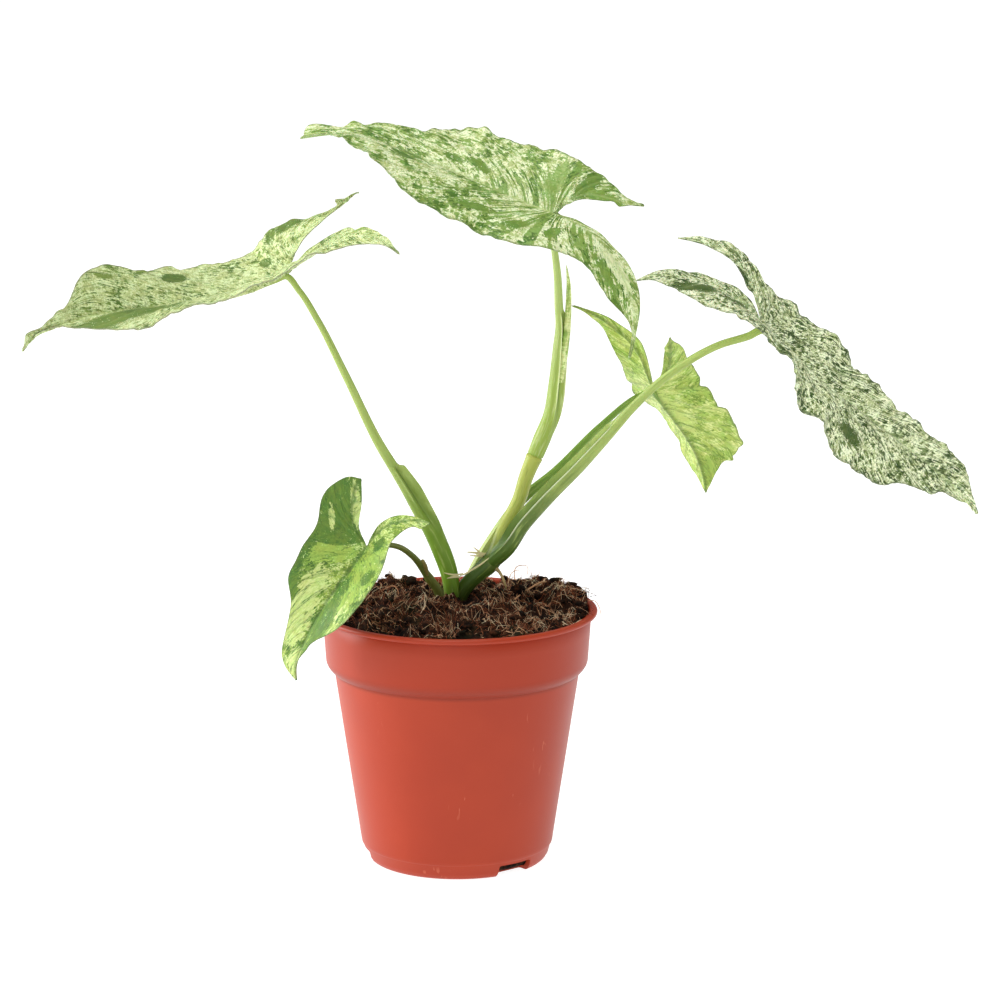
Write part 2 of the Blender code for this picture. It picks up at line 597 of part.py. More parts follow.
def build_pot(collection):
    """Return the pot: a tapered cup with a wider collar, a rolled lip and three drain slots."""
    profile = [(0.0, FLOOR)] + pot_inside(0.0)
    profile += [(LIP_RADIUS + r, POT_HEIGHT + z) for r, z in LIP_ROLL]
    profile += [(COLLAR_TOP_RADIUS, POT_HEIGHT - LIP_DEPTH),
                (COLLAR_BOTTOM_RADIUS, STEP_HEIGHT + 1.25 * COLLAR_SHOULDER)]
    for degrees in COLLAR_SHOULDER_TURNS:
        turn = math.radians(degrees)
        profile.append((BODY_TOP_RADIUS + (COLLAR_BOTTOM_RADIUS - BODY_TOP_RADIUS) * math.cos(turn),
                        STEP_HEIGHT + COLLAR_SHOULDER * (1.06 - math.sin(turn))))
    profile.append((BODY_TOP_RADIUS, STEP_HEIGHT))
    profile += [(BODY_TOP_RADIUS + r, STEP_HEIGHT + z) for r, z in STEP_LINE]
    profile += [(BODY_BOTTOM_RADIUS + r, z) for r, z in FOOT_ROLL]
    profile += [(FOOT_RADIUS, 0.0), (0.0, 0.0)]
    pot = screw("pot", profile, POT_STEPS, collection)
    cutters = new_collection("drain_cutters")
    for i in range(DRAIN_COUNT):
        angle = math.radians(DRAIN_FIRST_ANGLE + i * 360.0 / DRAIN_COUNT)
        middle = (DRAIN_INNER_RADIUS + DRAIN_OUTER_RADIUS) / 2.0
        bpy.ops.mesh.primitive_cube_add(
            size=MM, location=(middle * MM * math.cos(angle), middle * MM * math.sin(angle), 0.0),
            rotation=(0.0, 0.0, angle),
            scale=(DRAIN_OUTER_RADIUS - DRAIN_INNER_RADIUS, DRAIN_WIDTH, 2.0 * DRAIN_HEIGHT))
        cutter = bpy.context.object
        cutter.name = f"drain_cutter_{i + 1}"
        cutter.hide_render = True
        cutter.display_type = "WIRE"
        for owner in list(cutter.users_collection):
            owner.objects.unlink(cutter)
        cutters.objects.link(cutter)
    boolean(pot, "DIFFERENCE", cutters)
    finish(pot, "pot", 35)
    return pot


def soil_height(x, y):
    """Height of the growing medium's surface: mounded round the stems, higher in front."""
    height = SOIL_EDGE_HEIGHT - SOIL_BACKWARD_FALL * y
    for (mx, my), rise, radius in ((SOIL_MOUND, SOIL_MOUND_HEIGHT, SOIL_MOUND_RADIUS),
                                   (SOIL_SIDE_MOUND, SOIL_SIDE_MOUND_HEIGHT, SOIL_SIDE_MOUND_RADIUS)):
        away = (x - mx) ** 2 + (y - my) ** 2
        height += rise * math.exp(-away / (2.0 * radius**2))
    for (u, v), wave, (sway, slow) in zip(((x, y), (y, x)), SOIL_WAVES, SOIL_WAVE_SWAYS):
        height += SOIL_ROUGHNESS * math.sin(wave * u + sway * math.sin(slow * v))
    return height


def free_spot(draw, limit):
    """A random place on the soil, away from the stems."""
    while True:
        x, y = draw.uniform(-limit, limit), draw.uniform(-limit, limit)
        away = math.hypot(x - STEM_CLEAR_SPOT[0], y - STEM_CLEAR_SPOT[1])
        if math.hypot(x, y) < limit and away > STEM_CLEAR_RADIUS:
            return x, y


def build_soil(stems, collection):
    """Return the peat: it fills the pot, with lumps and fibres joined to its top and stem holes."""
    side = [(r - GAP, z) for r, z in pot_inside(0.0)]
    side[0] = (side[0][0], FLOOR + GAP)
    side[1] = (side[1][0], side[1][1] + GAP)
    side[-1] = (side[-1][0], POT_HEIGHT - 3.8)
    profile = [(0.0, SOIL_EDGE_HEIGHT)] + [(r, SOIL_EDGE_HEIGHT) for r in SOIL_TOP_RADII]
    profile += [(side[-1][0] - 0.6, SOIL_EDGE_HEIGHT)] + side[::-1] + [(0.0, FLOOR + GAP)]
    soil = screw("growing_medium", profile, SOIL_STEPS, collection)
    for vertex in soil.data.vertices:
        if vertex.co.z > (SOIL_EDGE_HEIGHT - 0.1) * MM:
            vertex.co.z = soil_height(vertex.co.x / MM, vertex.co.y / MM) * MM
    draw = random.Random(SOIL_SEED)
    additions = new_collection("soil_additions")
    lumps = [BIG_LUMP]
    lumps += [(*free_spot(draw, LUMP_LIMIT), draw.uniform(*LUMP_RADII)) for _ in range(LUMP_COUNT - 1)]
    for i, (x, y, radius) in enumerate(lumps):
        work = bmesh.new()
        bmesh.ops.create_icosphere(work, subdivisions=2, radius=radius * MM)
        for vertex in work.verts:
            vertex.co *= draw.uniform(*LUMP_VARIATION)
            vertex.co.z *= LUMP_FLATNESS
            vertex.co += Vector((x, y, soil_height(x, y))) * MM
        mesh = bpy.data.meshes.new(f"lump_{i + 1}")
        work.to_mesh(mesh)
        work.free()
        add_object(mesh.name, mesh, additions)
    for i in range(FIBRE_COUNT):
        x, y = free_spot(draw, FIBRE_LIMIT)
        turn = draw.uniform(0.0, 2.0 * math.pi)
        half_length = draw.uniform(*FIBRE_HALF_LENGTHS)
        lift = draw.uniform(*FIBRE_LIFTS)
        points = []
        for share in FIBRE_STATIONS:
            bend = FIBRE_BEND * half_length * (1.0 - share * share)
            px = x + half_length * share * math.cos(turn) - bend * math.sin(turn)
            py = y + half_length * share * math.sin(turn) + bend * math.cos(turn)
            height = soil_height(px, py) + lift * (1.0 - FIBRE_FALL * share * share)
            points.append((px, py, height, FIBRE_RADIUS))
        tube(f"fibre_{i + 1}", points, additions, spacing=2.5, resolution=0)
    boolean(soil, "UNION", additions)
    holes = new_collection("stem_holes")
    for i, points in enumerate(stems):
        tube(f"stem_hole_{i + 1}", points, holes, spacing=3.0, extra=STEM_HOLE_GAP)
    boolean(soil, "DIFFERENCE", holes)
    finish(soil, "growing_medium", 60)
    return soil


def build_main_stem(collection):
    """Return the climbing stem with its node ring, one aerial root and two dry scales."""
    stem = tube("main_stem", MAIN_STEM, collection, end_rise=FLAT_END_RISE)
    additions = new_collection("stem_additions")
    tube("aerial_root", AERIAL_ROOT, additions, spacing=3.0, resolution=1)
    for i, points in enumerate(SCALES):
        tube(f"scale_{i + 1}", points, additions, spacing=3.0, resolution=1)
    boolean(stem, "UNION", additions)
    finish(stem, "main_stem", 50)
    return stem


def main():
    """Build every node in one collection."""
    clear_scene()
    parts = new_collection("potted_syngonium")
    build_pot(parts)
    build_soil((MAIN_STEM, AERIAL_ROOT, PETIOLE_LOW, PETIOLE_LEFT), parts)
    build_main_stem(parts)
    for name, points, leaf in (("petiole_low", PETIOLE_LOW, "leaf_low"),
                               ("petiole_rear", PETIOLE_REAR, "leaf_rear")):
        finish(tube(name, with_end(points, LEAVES[leaf]), parts), name, 50)
    for name, points, leaf in (("petiole_top", PETIOLE_TOP, "leaf_top"),
                               ("petiole_left", PETIOLE_LEFT, "leaf_left"),
                               ("petiole_right", PETIOLE_RIGHT, "leaf_right")):
        finish(sheathed_petiole(name, with_end(points, LEAVES[leaf]), parts), name, 50)
    finish(tube("new_leaf", NEW_LEAF, parts, spacing=3.0), "new_leaf", 50)
    for name, leaf in LEAVES.items():
        finish(build_leaf(name, leaf, parts), name, 50)


if __name__ == "__main__":
    main()
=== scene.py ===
"""Looks of the potted syngonium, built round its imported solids.

Sizes in the dataclass fields are millimetres in the plant's own frame: the origin is the middle of
the pot's underside, +Z is up, -Y is the front and +X the right. Meshes are made in metres.
"""

import logging
import math
import random
from dataclasses import dataclass, field, replace
from enum import Enum
from typing import Any, Optional, Union

import bmesh
import bpy
import numpy as np
from bpy.types import Material, Mesh, Node, NodeSocket, Object
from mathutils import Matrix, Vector, noise


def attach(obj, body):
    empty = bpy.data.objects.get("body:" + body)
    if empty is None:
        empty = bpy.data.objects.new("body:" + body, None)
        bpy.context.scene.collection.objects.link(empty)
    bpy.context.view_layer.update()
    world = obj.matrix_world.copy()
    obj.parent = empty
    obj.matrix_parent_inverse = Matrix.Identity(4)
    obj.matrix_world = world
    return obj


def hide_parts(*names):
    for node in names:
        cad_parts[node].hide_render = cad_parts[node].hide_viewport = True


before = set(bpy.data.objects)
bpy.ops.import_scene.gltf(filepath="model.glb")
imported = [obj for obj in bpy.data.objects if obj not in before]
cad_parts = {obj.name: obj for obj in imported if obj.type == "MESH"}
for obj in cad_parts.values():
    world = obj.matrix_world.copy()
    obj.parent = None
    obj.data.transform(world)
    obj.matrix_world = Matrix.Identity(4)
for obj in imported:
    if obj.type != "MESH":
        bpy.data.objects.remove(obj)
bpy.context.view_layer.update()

MM = 0.001
BODY = "root"
UV_UNIT = 100.0
LOG = logging.getLogger("syngonium")

Array = np.ndarray
Colour = tuple[int, int, int]
Triple = tuple[float, float, float]
Points = tuple[tuple[float, ...], ...]


def linear(colour: Colour) -> Triple:
    """Return the linear values of an 8-bit display colour."""
    return tuple(((channel / 255 + 0.055) / 1.055) ** 2.4 for channel in colour)


class Side(Enum):
    """The two halves of a blade, as signs on its flat width."""

    LEFT = 1.0
    RIGHT = -1.0


class Strand(Enum):
    """Kinds of loose strand in the peat: tone range, radius range and length range."""

    COIR = ((0, 0.95), (0.06, 0.16), (4, 13))
    TUFT = ((0, 0.92), (0.05, 0.13), (2.5, 6.5))
    STRAW = ((0.6, 0.8), (0.2, 0.3), (6, 14))
    HAIR_ROOT = ((0.85, 1), (0.06, 0.12), (5, 15))


class Wire:
    """One value in a material's node tree; arithmetic on it adds Math nodes."""

    def __init__(self, tree: "Tree", socket: NodeSocket) -> None:
        """Keep the tree and the output socket."""
        self.tree = tree
        self.socket = socket

    def _maths(self, operation: str, first: Any, second: Any = 0) -> "Wire":
        """Return the result of one Math node."""
        return self.tree.wire("ShaderNodeMath", {"operation": operation}, {0: first, 1: second})

    def __add__(self, other: Any) -> "Wire":
        """Return self + other."""
        return self._maths("ADD", self, other)

    __radd__ = __add__

    def __sub__(self, other: Any) -> "Wire":
        """Return self - other."""
        return self._maths("SUBTRACT", self, other)

    def __rsub__(self, other: Any) -> "Wire":
        """Return other - self."""
        return self._maths("SUBTRACT", other, self)

    def __mul__(self, other: Any) -> "Wire":
        """Return self * other."""
        return self._maths("MULTIPLY", self, other)

    __rmul__ = __mul__

    def off(self, level: float) -> "Wire":
        """Return how far self is from a level."""
        return self._maths("ABSOLUTE", self - level)

    def step(self, low: float, high: float) -> "Wire":
        """Return a smooth rise from 0 at low to 1 at high."""
        return self.tree.wire("ShaderNodeMapRange", {"interpolation_type": "SMOOTHSTEP"},
                              {0: self, 1: low, 2: high})


class Tree:
    """The nodes of one Principled material."""

    def __init__(self, name: str) -> None:
        """Start a material that holds one Principled shader."""
        self.material = bpy.data.materials.new(name)
        self.material.use_nodes = True
        self.nodes = self.material.node_tree.nodes
        self.shader = self.nodes["Principled BSDF"]

    def feed(self, socket: NodeSocket, value: Any) -> None:
        """Link a Wire to a socket, or set the socket to a plain value or display colour.

        Args:
            socket: the input.
            value: a Wire, a display colour or a plain value.
        """
        if isinstance(value, Wire):
            self.material.node_tree.links.new(value.socket, socket)
        elif isinstance(value, tuple) and socket.type == "RGBA":
            socket.default_value = (*linear(value), 1)
        else:
            socket.default_value = value

    def node(self, kind: str, settings: Optional[dict[str, Any]] = None,
             sockets: Optional[dict[Union[int, str], Any]] = None) -> Node:
        """Add a node.

        Args:
            kind: the node's type.
            settings: its own settings, set before its sockets.
            sockets: values or Wires by socket name or number.

        Returns:
            The new node.
        """
        node = self.nodes.new(kind)
        for name, value in (settings or {}).items():
            setattr(node, name, value)
        for key, value in (sockets or {}).items():
            self.feed(node.inputs[key], value)
        return node

    def wire(self, kind: str, settings: Optional[dict[str, Any]] = None,
             sockets: Optional[dict[Union[int, str], Any]] = None,
             output: Union[int, str] = 0) -> Wire:
        """Add a node and return one of its outputs."""
        return Wire(self, self.node(kind, settings, sockets).outputs[output])

    def place(self) -> Wire:
        """Return the object coordinates, in metres."""
        return self.wire("ShaderNodeTexCoord", output="Object")

    def uv(self, name: str) -> Wire:
        """Return a UV map's coordinates."""
        return self.wire("ShaderNodeUVMap", {"uv_map": name})

    def value(self, name: str) -> Wire:
        """Return a point value of the mesh."""
        return self.wire("ShaderNodeAttribute", {"attribute_name": name}, output="Fac")

    def height(self) -> Wire:
        """Return the height over the ground, in metres."""
        return self.wire("ShaderNodeSeparateXYZ", None, {0: self.place()}, "Z")

    def stretch(self, vector: Wire, *scale: float) -> Wire:
        """Return the vector times a scale for each axis."""
        return self.wire("ShaderNodeVectorMath", {"operation": "MULTIPLY"}, {0: vector, 1: scale})

    def shift(self, vector: Wire, *offset: float) -> Wire:
        """Return the vector moved by an offset."""
        return self.wire("ShaderNodeVectorMath", {"operation": "ADD"}, {0: vector, 1: offset})

    def grain(self, vector: Wire, scale: float, detail: float = 2, roughness: float = 0.55,
              distortion: float = 0) -> Wire:
        """Return noise round one half, with the scale in features per unit of the vector.

        Args:
            vector: where.
            scale: features per unit of the vector.
            detail: the number of octaves.
            roughness: the octaves' falloff.
            distortion: how far it is stirred.

        Returns:
            Noise round one half.
        """
        return self.wire("ShaderNodeTexNoise", None,
                         {"Vector": vector, "Scale": scale, "Detail": detail,
                          "Roughness": roughness, "Distortion": distortion})

    def blend(self, share: Any, first: Any, second: Any) -> Wire:
        """Return a colour that goes from the first to the second as share goes from 0 to 1."""
        return self.wire("ShaderNodeMix", {"data_type": "RGBA"}, {0: share, 6: first, 7: second}, 2)

    def finish(self, colour: Any, roughness: Any, relief: Optional[Wire] = None,
               depth: float = 0, **constants: float) -> Material:
        """Feed the shader.

        Args:
            colour: the base colour.
            roughness: the roughness.
            relief: height between 0 and 1 for a bump.
            depth: the relief's depth in millimetres.
            constants: other sockets of the shader, with _ for a space.

        Returns:
            The finished material.
        """
        self.feed(self.shader.inputs["Base Color"], colour)
        self.feed(self.shader.inputs["Roughness"], roughness)
        for name, value in constants.items():
            self.feed(self.shader.inputs[name.replace("_", " ")], value)
        if relief is not None:
            bump = self.wire("ShaderNodeBump", None,
                             {"Strength": 1, "Distance": depth * MM, "Height": relief})
            self.feed(self.shader.inputs["Normal"], bump)
        return self.material


@dataclass(frozen=True)
class Patch:
    """An even patch on a blade: an ellipse in the blade's flat millimetres, turned by degrees.

    tone is below 0 for cream, 0 for the palest green, 0.5 for the green and 1 for the dark green,
    ragged how ragged the edge is.
    """

    x: float
    y: float
    long: float
    wide: float
    turn: float = 0.0
    tone: float = 0.5
    ragged: float = 1.0


@dataclass(frozen=True)
class Flecks:
    """A blade's maps in one material, and the noises on them that its mottling is made of.

    veins runs along the side veins, flat over the flattened blade. The noises lie round zero:
    blotches and soft are broad, loose lies over the flat blade, drawn and middle follow the veins,
    and small is the finest.
    """

    veins: Wire
    flat: Wire
    blotches: Wire
    soft: Wire
    loose: Wire
    drawn: Wire
    middle: Wire
    small: Wire


@dataclass(frozen=True)
class Variegation:
    """Mottling of a blade in four tones.

    cover and dark_cover are the shares of green and of dark green in it, fleck is the size of a
    fleck over its usual size, stretch its length over its width, drift how far the share of green
    changes over the blade, and rays how strongly long streaks leave the sinus. loose is how much of
    the flecks doesn't follow the veins. net_share is the strength of the fine dark net of veins,
    and the edge share that of the thin line of painted shade along the margin, in the edge colour.
    rib and vein are the colours of the midrib and the side veins, pale if not given.
    """

    name: str
    cream: Colour
    pale: Colour
    green: Colour
    dark: Colour
    # colour of the painted shade line along the margin
    edge: Colour = (96, 116, 66)
    cover: float = 0.5
    dark_cover: float = 0.3
    fleck: float = 1.0
    stretch: float = 1.0
    drift: float = 1.0
    blotch: float = 12.0
    rays: float = 0.0
    loose: float = 0.6
    cream_share: float = 0.5
    rib: Optional[Colour] = None
    rib_share: float = 0.4
    vein: Optional[Colour] = None
    vein_share: float = 0.25
    net_share: float = 0.25
    margin_shade_share: float = 0.6
    seed: float = 0.0
    patches: tuple[Patch, ...] = ()
    roughness: float = 0.46

    FINE = 0.014
    SPREAD = 0.27
    RAY_WIDTH = 1.8
    RAY_REACH = (12, 44)
    PIERCED = (0.17, 0.21)
    NET_MESH = 4.5
    NET_LINE = 0.022
    MARGIN_SHADE_LINE = (0.965, 0.99)
    RELIEF_DEPTH = 0.16

    def ragged(self, tree: Tree, place: Wire, size: float, detail: float = 4) -> Wire:
        """Return ragged noise round zero, drawn out along the place's second axis."""
        drawn = tree.stretch(place, 1, 1 / self.stretch, 1)
        return tree.grain(drawn, UV_UNIT / (size * self.fleck), detail, 0.66, 0.4) - 0.5

    def flecks(self, tree: Tree) -> Flecks:
        """Return the blade's maps and noises, with flecks of falling size in millimetres."""
        veins = tree.shift(tree.uv("veins"), self.seed, self.seed, self.seed)
        flat = tree.uv("flat")
        open_map = tree.shift(flat, self.seed, -self.seed, self.seed)
        return Flecks(
            veins=veins, flat=flat,
            blotches=tree.grain(open_map, UV_UNIT / self.blotch, 3, 0.6, 0.5) - 0.5,
            soft=tree.grain(tree.shift(open_map, 5, 5, 5), UV_UNIT / 5, 2) - 0.5,
            loose=self.ragged(tree, open_map, 3.2),
            drawn=self.ragged(tree, veins, 2.4),
            middle=self.ragged(tree, tree.shift(veins, 7, 3, 1), 1.7, 3),
            small=self.ragged(tree, tree.shift(open_map, 2, 9, 4), 1.1, 2))

    def over(self, share: float) -> float:
        """Return the level of ragged noise that this share of it lies over."""
        return (0.5 - share) * self.SPREAD

    def ellipse(self, tree: Tree, flat: Wire, patch: Patch) -> Wire:
        """Return the distance from a patch's middle, 1 on its edge.

        Args:
            tree: the material's nodes.
            flat: the blade's flat map.
            patch: the patch.

        Returns:
            The distance.
        """
        local = tree.wire("ShaderNodeMapping", {"vector_type": "TEXTURE"},
                          {"Vector": flat, "Location": (patch.x / UV_UNIT, patch.y / UV_UNIT, 0),
                           "Rotation": (0, 0, math.radians(patch.turn)),
                           "Scale": (patch.long / 2 / UV_UNIT, patch.wide / 2 / UV_UNIT, 1)})
        return tree.wire("ShaderNodeVectorMath", {"operation": "LENGTH"}, {0: local}, "Value")

    def mottle(self, tree: Tree, flecks: Flecks, mixed: Wire) -> Wire:
        """Return the four tones' mottling: green over pale and cream, dark green in the green.

        Args:
            tree: the material's nodes.
            flecks: the blade's maps and noises.
            mixed: the loose and the drawn flecks, mixed.

        Returns:
            The colour.
        """
        greenness = mixed + flecks.blotches * (0.7 * self.drift) - self.over(self.cover)
        if self.rays:
            rays = tree.stretch(flecks.veins, 1, 0.08, 1)
            rays = tree.grain(rays, UV_UNIT / self.RAY_WIDTH, 3, 0.6) - 0.5
            away = tree.wire("ShaderNodeVectorMath", {"operation": "LENGTH"},
                             {0: flecks.flat}, "Value")
            near = (1 - (away * UV_UNIT).step(*self.RAY_REACH)) * self.rays
            greenness = greenness * (1 - near * 0.6) + (rays * 1.4 + 0.03) * near
        darkness = flecks.middle * 0.8 + flecks.loose * 0.3 + flecks.blotches * 0.5
        darkness = darkness - self.over(self.dark_cover)
        paleness = flecks.small * 0.8 + flecks.middle * 0.4 + flecks.soft * 0.4
        paleness = paleness - self.over(self.cream_share)
        colour = tree.blend(paleness.step(-0.05, 0.05), self.pale, self.cream)
        green = greenness.step(-self.FINE, self.FINE) * 0.95
        colour = tree.blend(green, colour, self.green)
        dark = darkness.step(-self.FINE, self.FINE) * greenness.step(-0.01, 0.02)
        return tree.blend(dark, colour, self.dark)

    def solid(self, tree: Tree, flecks: Flecks, tone: float) -> Wire:
        """Return the colour of an even patch by its tone.

        Args:
            tree: the material's nodes.
            flecks: the blade's maps and noises.
            tone: as in Patch.

        Returns:
            The colour.
        """
        if tone < 0:
            return tree.blend(0.35 + flecks.middle * 3, self.cream, self.pale)
        if tone < 0.5:
            return tree.blend(tone * 2 + flecks.middle * 2, self.pale, self.green)
        share = tone * 2 - 1 + flecks.middle * 1.4 + flecks.soft * 0.9
        return tree.blend(share, self.green, self.dark)

    def patched(self, tree: Tree, flecks: Flecks, mixed: Wire, colour: Wire) -> Wire:
        """Return the colour with the even patches laid over it, ragged and pierced by flecks.

        Args:
            tree: the material's nodes.
            flecks: the blade's maps and noises.
            mixed: the loose and the drawn flecks, mixed.
            colour: what lies under the patches.

        Returns:
            The colour.
        """
        edge = mixed * 1.5 + flecks.middle * 1.2 + flecks.small * 0.5
        whole = 1 - (flecks.small + flecks.soft * 0.5).step(*self.PIERCED)
        for patch in self.patches:
            reach = self.ellipse(tree, flecks.flat, patch) + edge * patch.ragged
            inside = (1 - reach).step(0, 0.08) * whole
            colour = tree.blend(inside, colour, self.solid(tree, flecks, patch.tone))
        return colour

    def material(self) -> Material:
        """Return the mottled material, read from the blade's own maps and point values."""
        tree = Tree(self.name)
        flecks = self.flecks(tree)
        mixed = flecks.loose * self.loose + flecks.drawn * (1.3 - self.loose)
        colour = self.mottle(tree, flecks, mixed)
        colour = self.patched(tree, flecks, mixed, colour)
        net = tree.stretch(flecks.veins, 1, 0.45, 1)
        net = tree.grain(net, UV_UNIT / self.NET_MESH, 3, 0.6, 0.3).off(0.5)
        net = (self.NET_LINE - net).step(0, 0.02)
        colour = tree.blend(net * self.net_share, colour, self.dark)
        colour = tree.blend(tree.value("vein") * self.vein_share, colour, self.vein or self.pale)
        colour = tree.blend(tree.value("rib") * self.rib_share, colour, self.rib or self.pale)
        # painted shade: a thin line along the margin, where the curled margin falls into shade
        edge = tree.value("rim").step(*self.MARGIN_SHADE_LINE) * self.margin_shade_share
        colour = tree.blend(edge, colour, self.edge)
        shade = tree.wire("ShaderNodeHueSaturation", None,
                          {"Value": flecks.soft * 0.3 + flecks.small * 0.5 + 1,
                           "Hue": 0.5 + flecks.soft * 0.06, "Color": colour})
        relief = flecks.small * 0.5 + flecks.soft * 0.6 - net * 0.35
        return tree.finish(shade, self.roughness + flecks.small * 0.25, relief,
                           self.RELIEF_DEPTH, Subsurface_Weight=0.08,
                           Subsurface_Scale=0.8 * MM, Specular_IOR_Level=0.3)


@dataclass(frozen=True)
class Rind:
    """Skin of a stalk: its colour low down and at the head, streaks, and the sheath's pale lip.

    turn is the share of the length where the foot's colour starts to change and where it has.
    """

    name: str
    foot: Colour
    head: Colour
    streak: Colour
    lip: Colour = (206, 220, 160)
    # colour of the painted shade low on the stalk, near the peat
    base_shade: Colour = (44, 50, 15)
    # colour of the painted shade in the sheath's groove
    groove: Colour = (62, 92, 26)
    dry: Colour = (170, 132, 92)
    turn: tuple[float, float] = (0.1, 0.9)
    roughness: float = 0.4

    BASE_SHADE_LINE = (0.110, 0.125)

    def material(self) -> Material:
        """Return the streaked material, darkened near the peat by painted shade."""
        tree = Tree(self.name)
        skin = tree.uv("skin")
        lines = tree.grain(tree.stretch(skin, 1, 0.07, 1), UV_UNIT / 1.1, 3, 0.6)
        cloud = tree.grain(tree.stretch(skin, 1, 0.4, 1), UV_UNIT / 7, 2)
        uneven = cloud - 0.5
        rise = (tree.value("rise") + uneven * 0.3).step(*self.turn)
        colour = tree.blend(rise, self.foot, self.head)
        streaks = (lines - 0.5 + uneven * 0.4).step(0.02, 0.16) * 0.55
        colour = tree.blend(streaks, colour, self.streak)
        colour = tree.blend((0.44 - lines).step(0, 0.12) * 0.35, colour, self.foot)
        # painted shade darkens the sheath's groove
        colour = tree.blend(tree.value("groove") * 0.7, colour, self.groove)
        colour = tree.blend(tree.value("dry"), colour, self.dry)
        colour = tree.blend(tree.value("lip").step(0.35, 0.9) * 0.85, colour, self.lip)
        # painted shade: the stalk darkens near the peat, below the shade line
        low = 1 - (tree.height() + uneven * 0.016).step(*self.BASE_SHADE_LINE)
        colour = tree.blend(low * 0.65, colour, self.base_shade)
        return tree.finish(colour, self.roughness + uneven * 0.2, lines, 0.12,
                           Subsurface_Weight=0.08, Subsurface_Scale=1 * MM,
                           Specular_IOR_Level=0.3)


@dataclass(frozen=True)
class StrandFinish:
    """Dry strands from dark brown to straw and pale root, by each strand's tone."""

    name: str = "strands"
    dark: Colour = (28, 12, 6)
    red: Colour = (152, 84, 52)
    tan: Colour = (226, 182, 142)
    pale: Colour = (238, 222, 188)

    def material(self) -> Material:
        """Return the material, whose tone is a point value."""
        tree = Tree(self.name)
        tone = tree.value("tone") + (tree.grain(tree.place(), 900, 2) - 0.5) * 0.25
        colour = tree.blend(tone.step(0, 0.5), self.dark, self.red)
        colour = tree.blend(tone.step(0.45, 0.85), colour, self.tan)
        colour = tree.blend(tone.step(0.85, 1), colour, self.pale)
        return tree.finish(colour, 0.8, Specular_IOR_Level=0.15)


@dataclass(frozen=True)
class PeatFinish:
    """Damp peat, red-brown on the crumbs and near black in the hollows of its bump, partly its own
    dark and partly painted shade.
    """

    name: str = "peat_surface"
    # the near black of the bump's hollows: the peat's own dark and painted shade
    low: Colour = (11, 5, 2)
    high: Colour = (84, 48, 29)
    moss: Colour = (34, 36, 18)

    def material(self) -> Material:
        """Return the rough, grainy material."""
        tree = Tree(self.name)
        place = tree.place()
        coarse = tree.grain(place, 130, 4, 0.65)
        fine = tree.grain(place, 620, 4, 0.7)
        # painted shade: the noise that lowers the bump also darkens the peat towards near black
        colour = tree.blend((coarse * 0.5 + fine * 0.5).step(0.44, 0.68), self.low, self.high)
        green = (tree.grain(tree.shift(place, 3, 1, 2), 60, 3) - 0.5).step(0.04, 0.16)
        colour = tree.blend(green * 0.5, colour, self.moss)
        return tree.finish(colour, 0.95, fine * 0.6 + coarse * 0.4, 1.2, Specular_IOR_Level=0.1)


@dataclass(frozen=True)
class PotPlastic:
    """Brick-red moulded plastic with a satin skin, faint clouds and a few handling scuffs.

    The collar's tone is painted shade that darkens it a little against the body, and the shoulder
    under it is painted darker still, as painted shade with a painted shadow line at the step.
    """

    name: str = "brick_plastic"
    colour: Colour = (173, 57, 25)
    worn: Colour = (204, 108, 80)
    deep: Colour = (167, 53, 22)
    # colour of the collar's painted shade
    collar_shade: Colour = (163, 50, 19)
    # colour of the painted shade and painted shadow line on the shoulder under the collar
    shoulder_shade: Colour = (136, 42, 18)

    COLLAR_SHADE_START = (0.0815, 0.0835)
    SHOULDER_SHADE_START = (0.081, 0.083)
    SHOULDER_SHADE_END = (0.0845, 0.089)

    def material(self) -> Material:
        """Return the satin plastic."""
        tree = Tree(self.name)
        place = tree.place()
        cloud = tree.grain(place, 22, 3, 0.5)
        pores = tree.grain(place, 1400, 2, 0.6)
        colour = tree.blend(cloud.step(0.35, 0.68), self.deep, self.colour)
        scuffs = tree.grain(tree.stretch(place, 1, 1, 0.14), 620, 2, 0.5, 0.6)
        where = tree.grain(tree.shift(place, 2, 5, 1), 46, 2).step(0.6, 0.7)
        scuffs = (scuffs - 0.64).step(0, 0.05) * where
        colour = tree.blend(scuffs * 0.6, colour, self.worn)
        height = tree.height()
        # painted shade: from the step up, the collar is a little darker than the body
        colour = tree.blend(height.step(*self.COLLAR_SHADE_START) * 0.75, colour, self.collar_shade)
        # painted shade: the shoulder under the collar, with its shadow line at the step, darker
        # still
        under = height.step(*self.SHOULDER_SHADE_START) * (1 - height.step(*self.SHOULDER_SHADE_END))
        colour = tree.blend(under * 0.75, colour, self.shoulder_shade)
        shine = 0.42 + (cloud - 0.5) * 0.15 + scuffs * 0.2
        return tree.finish(colour, shine, pores * 0.5 + cloud * 0.5, 0.04, Specular_IOR_Level=0.32)


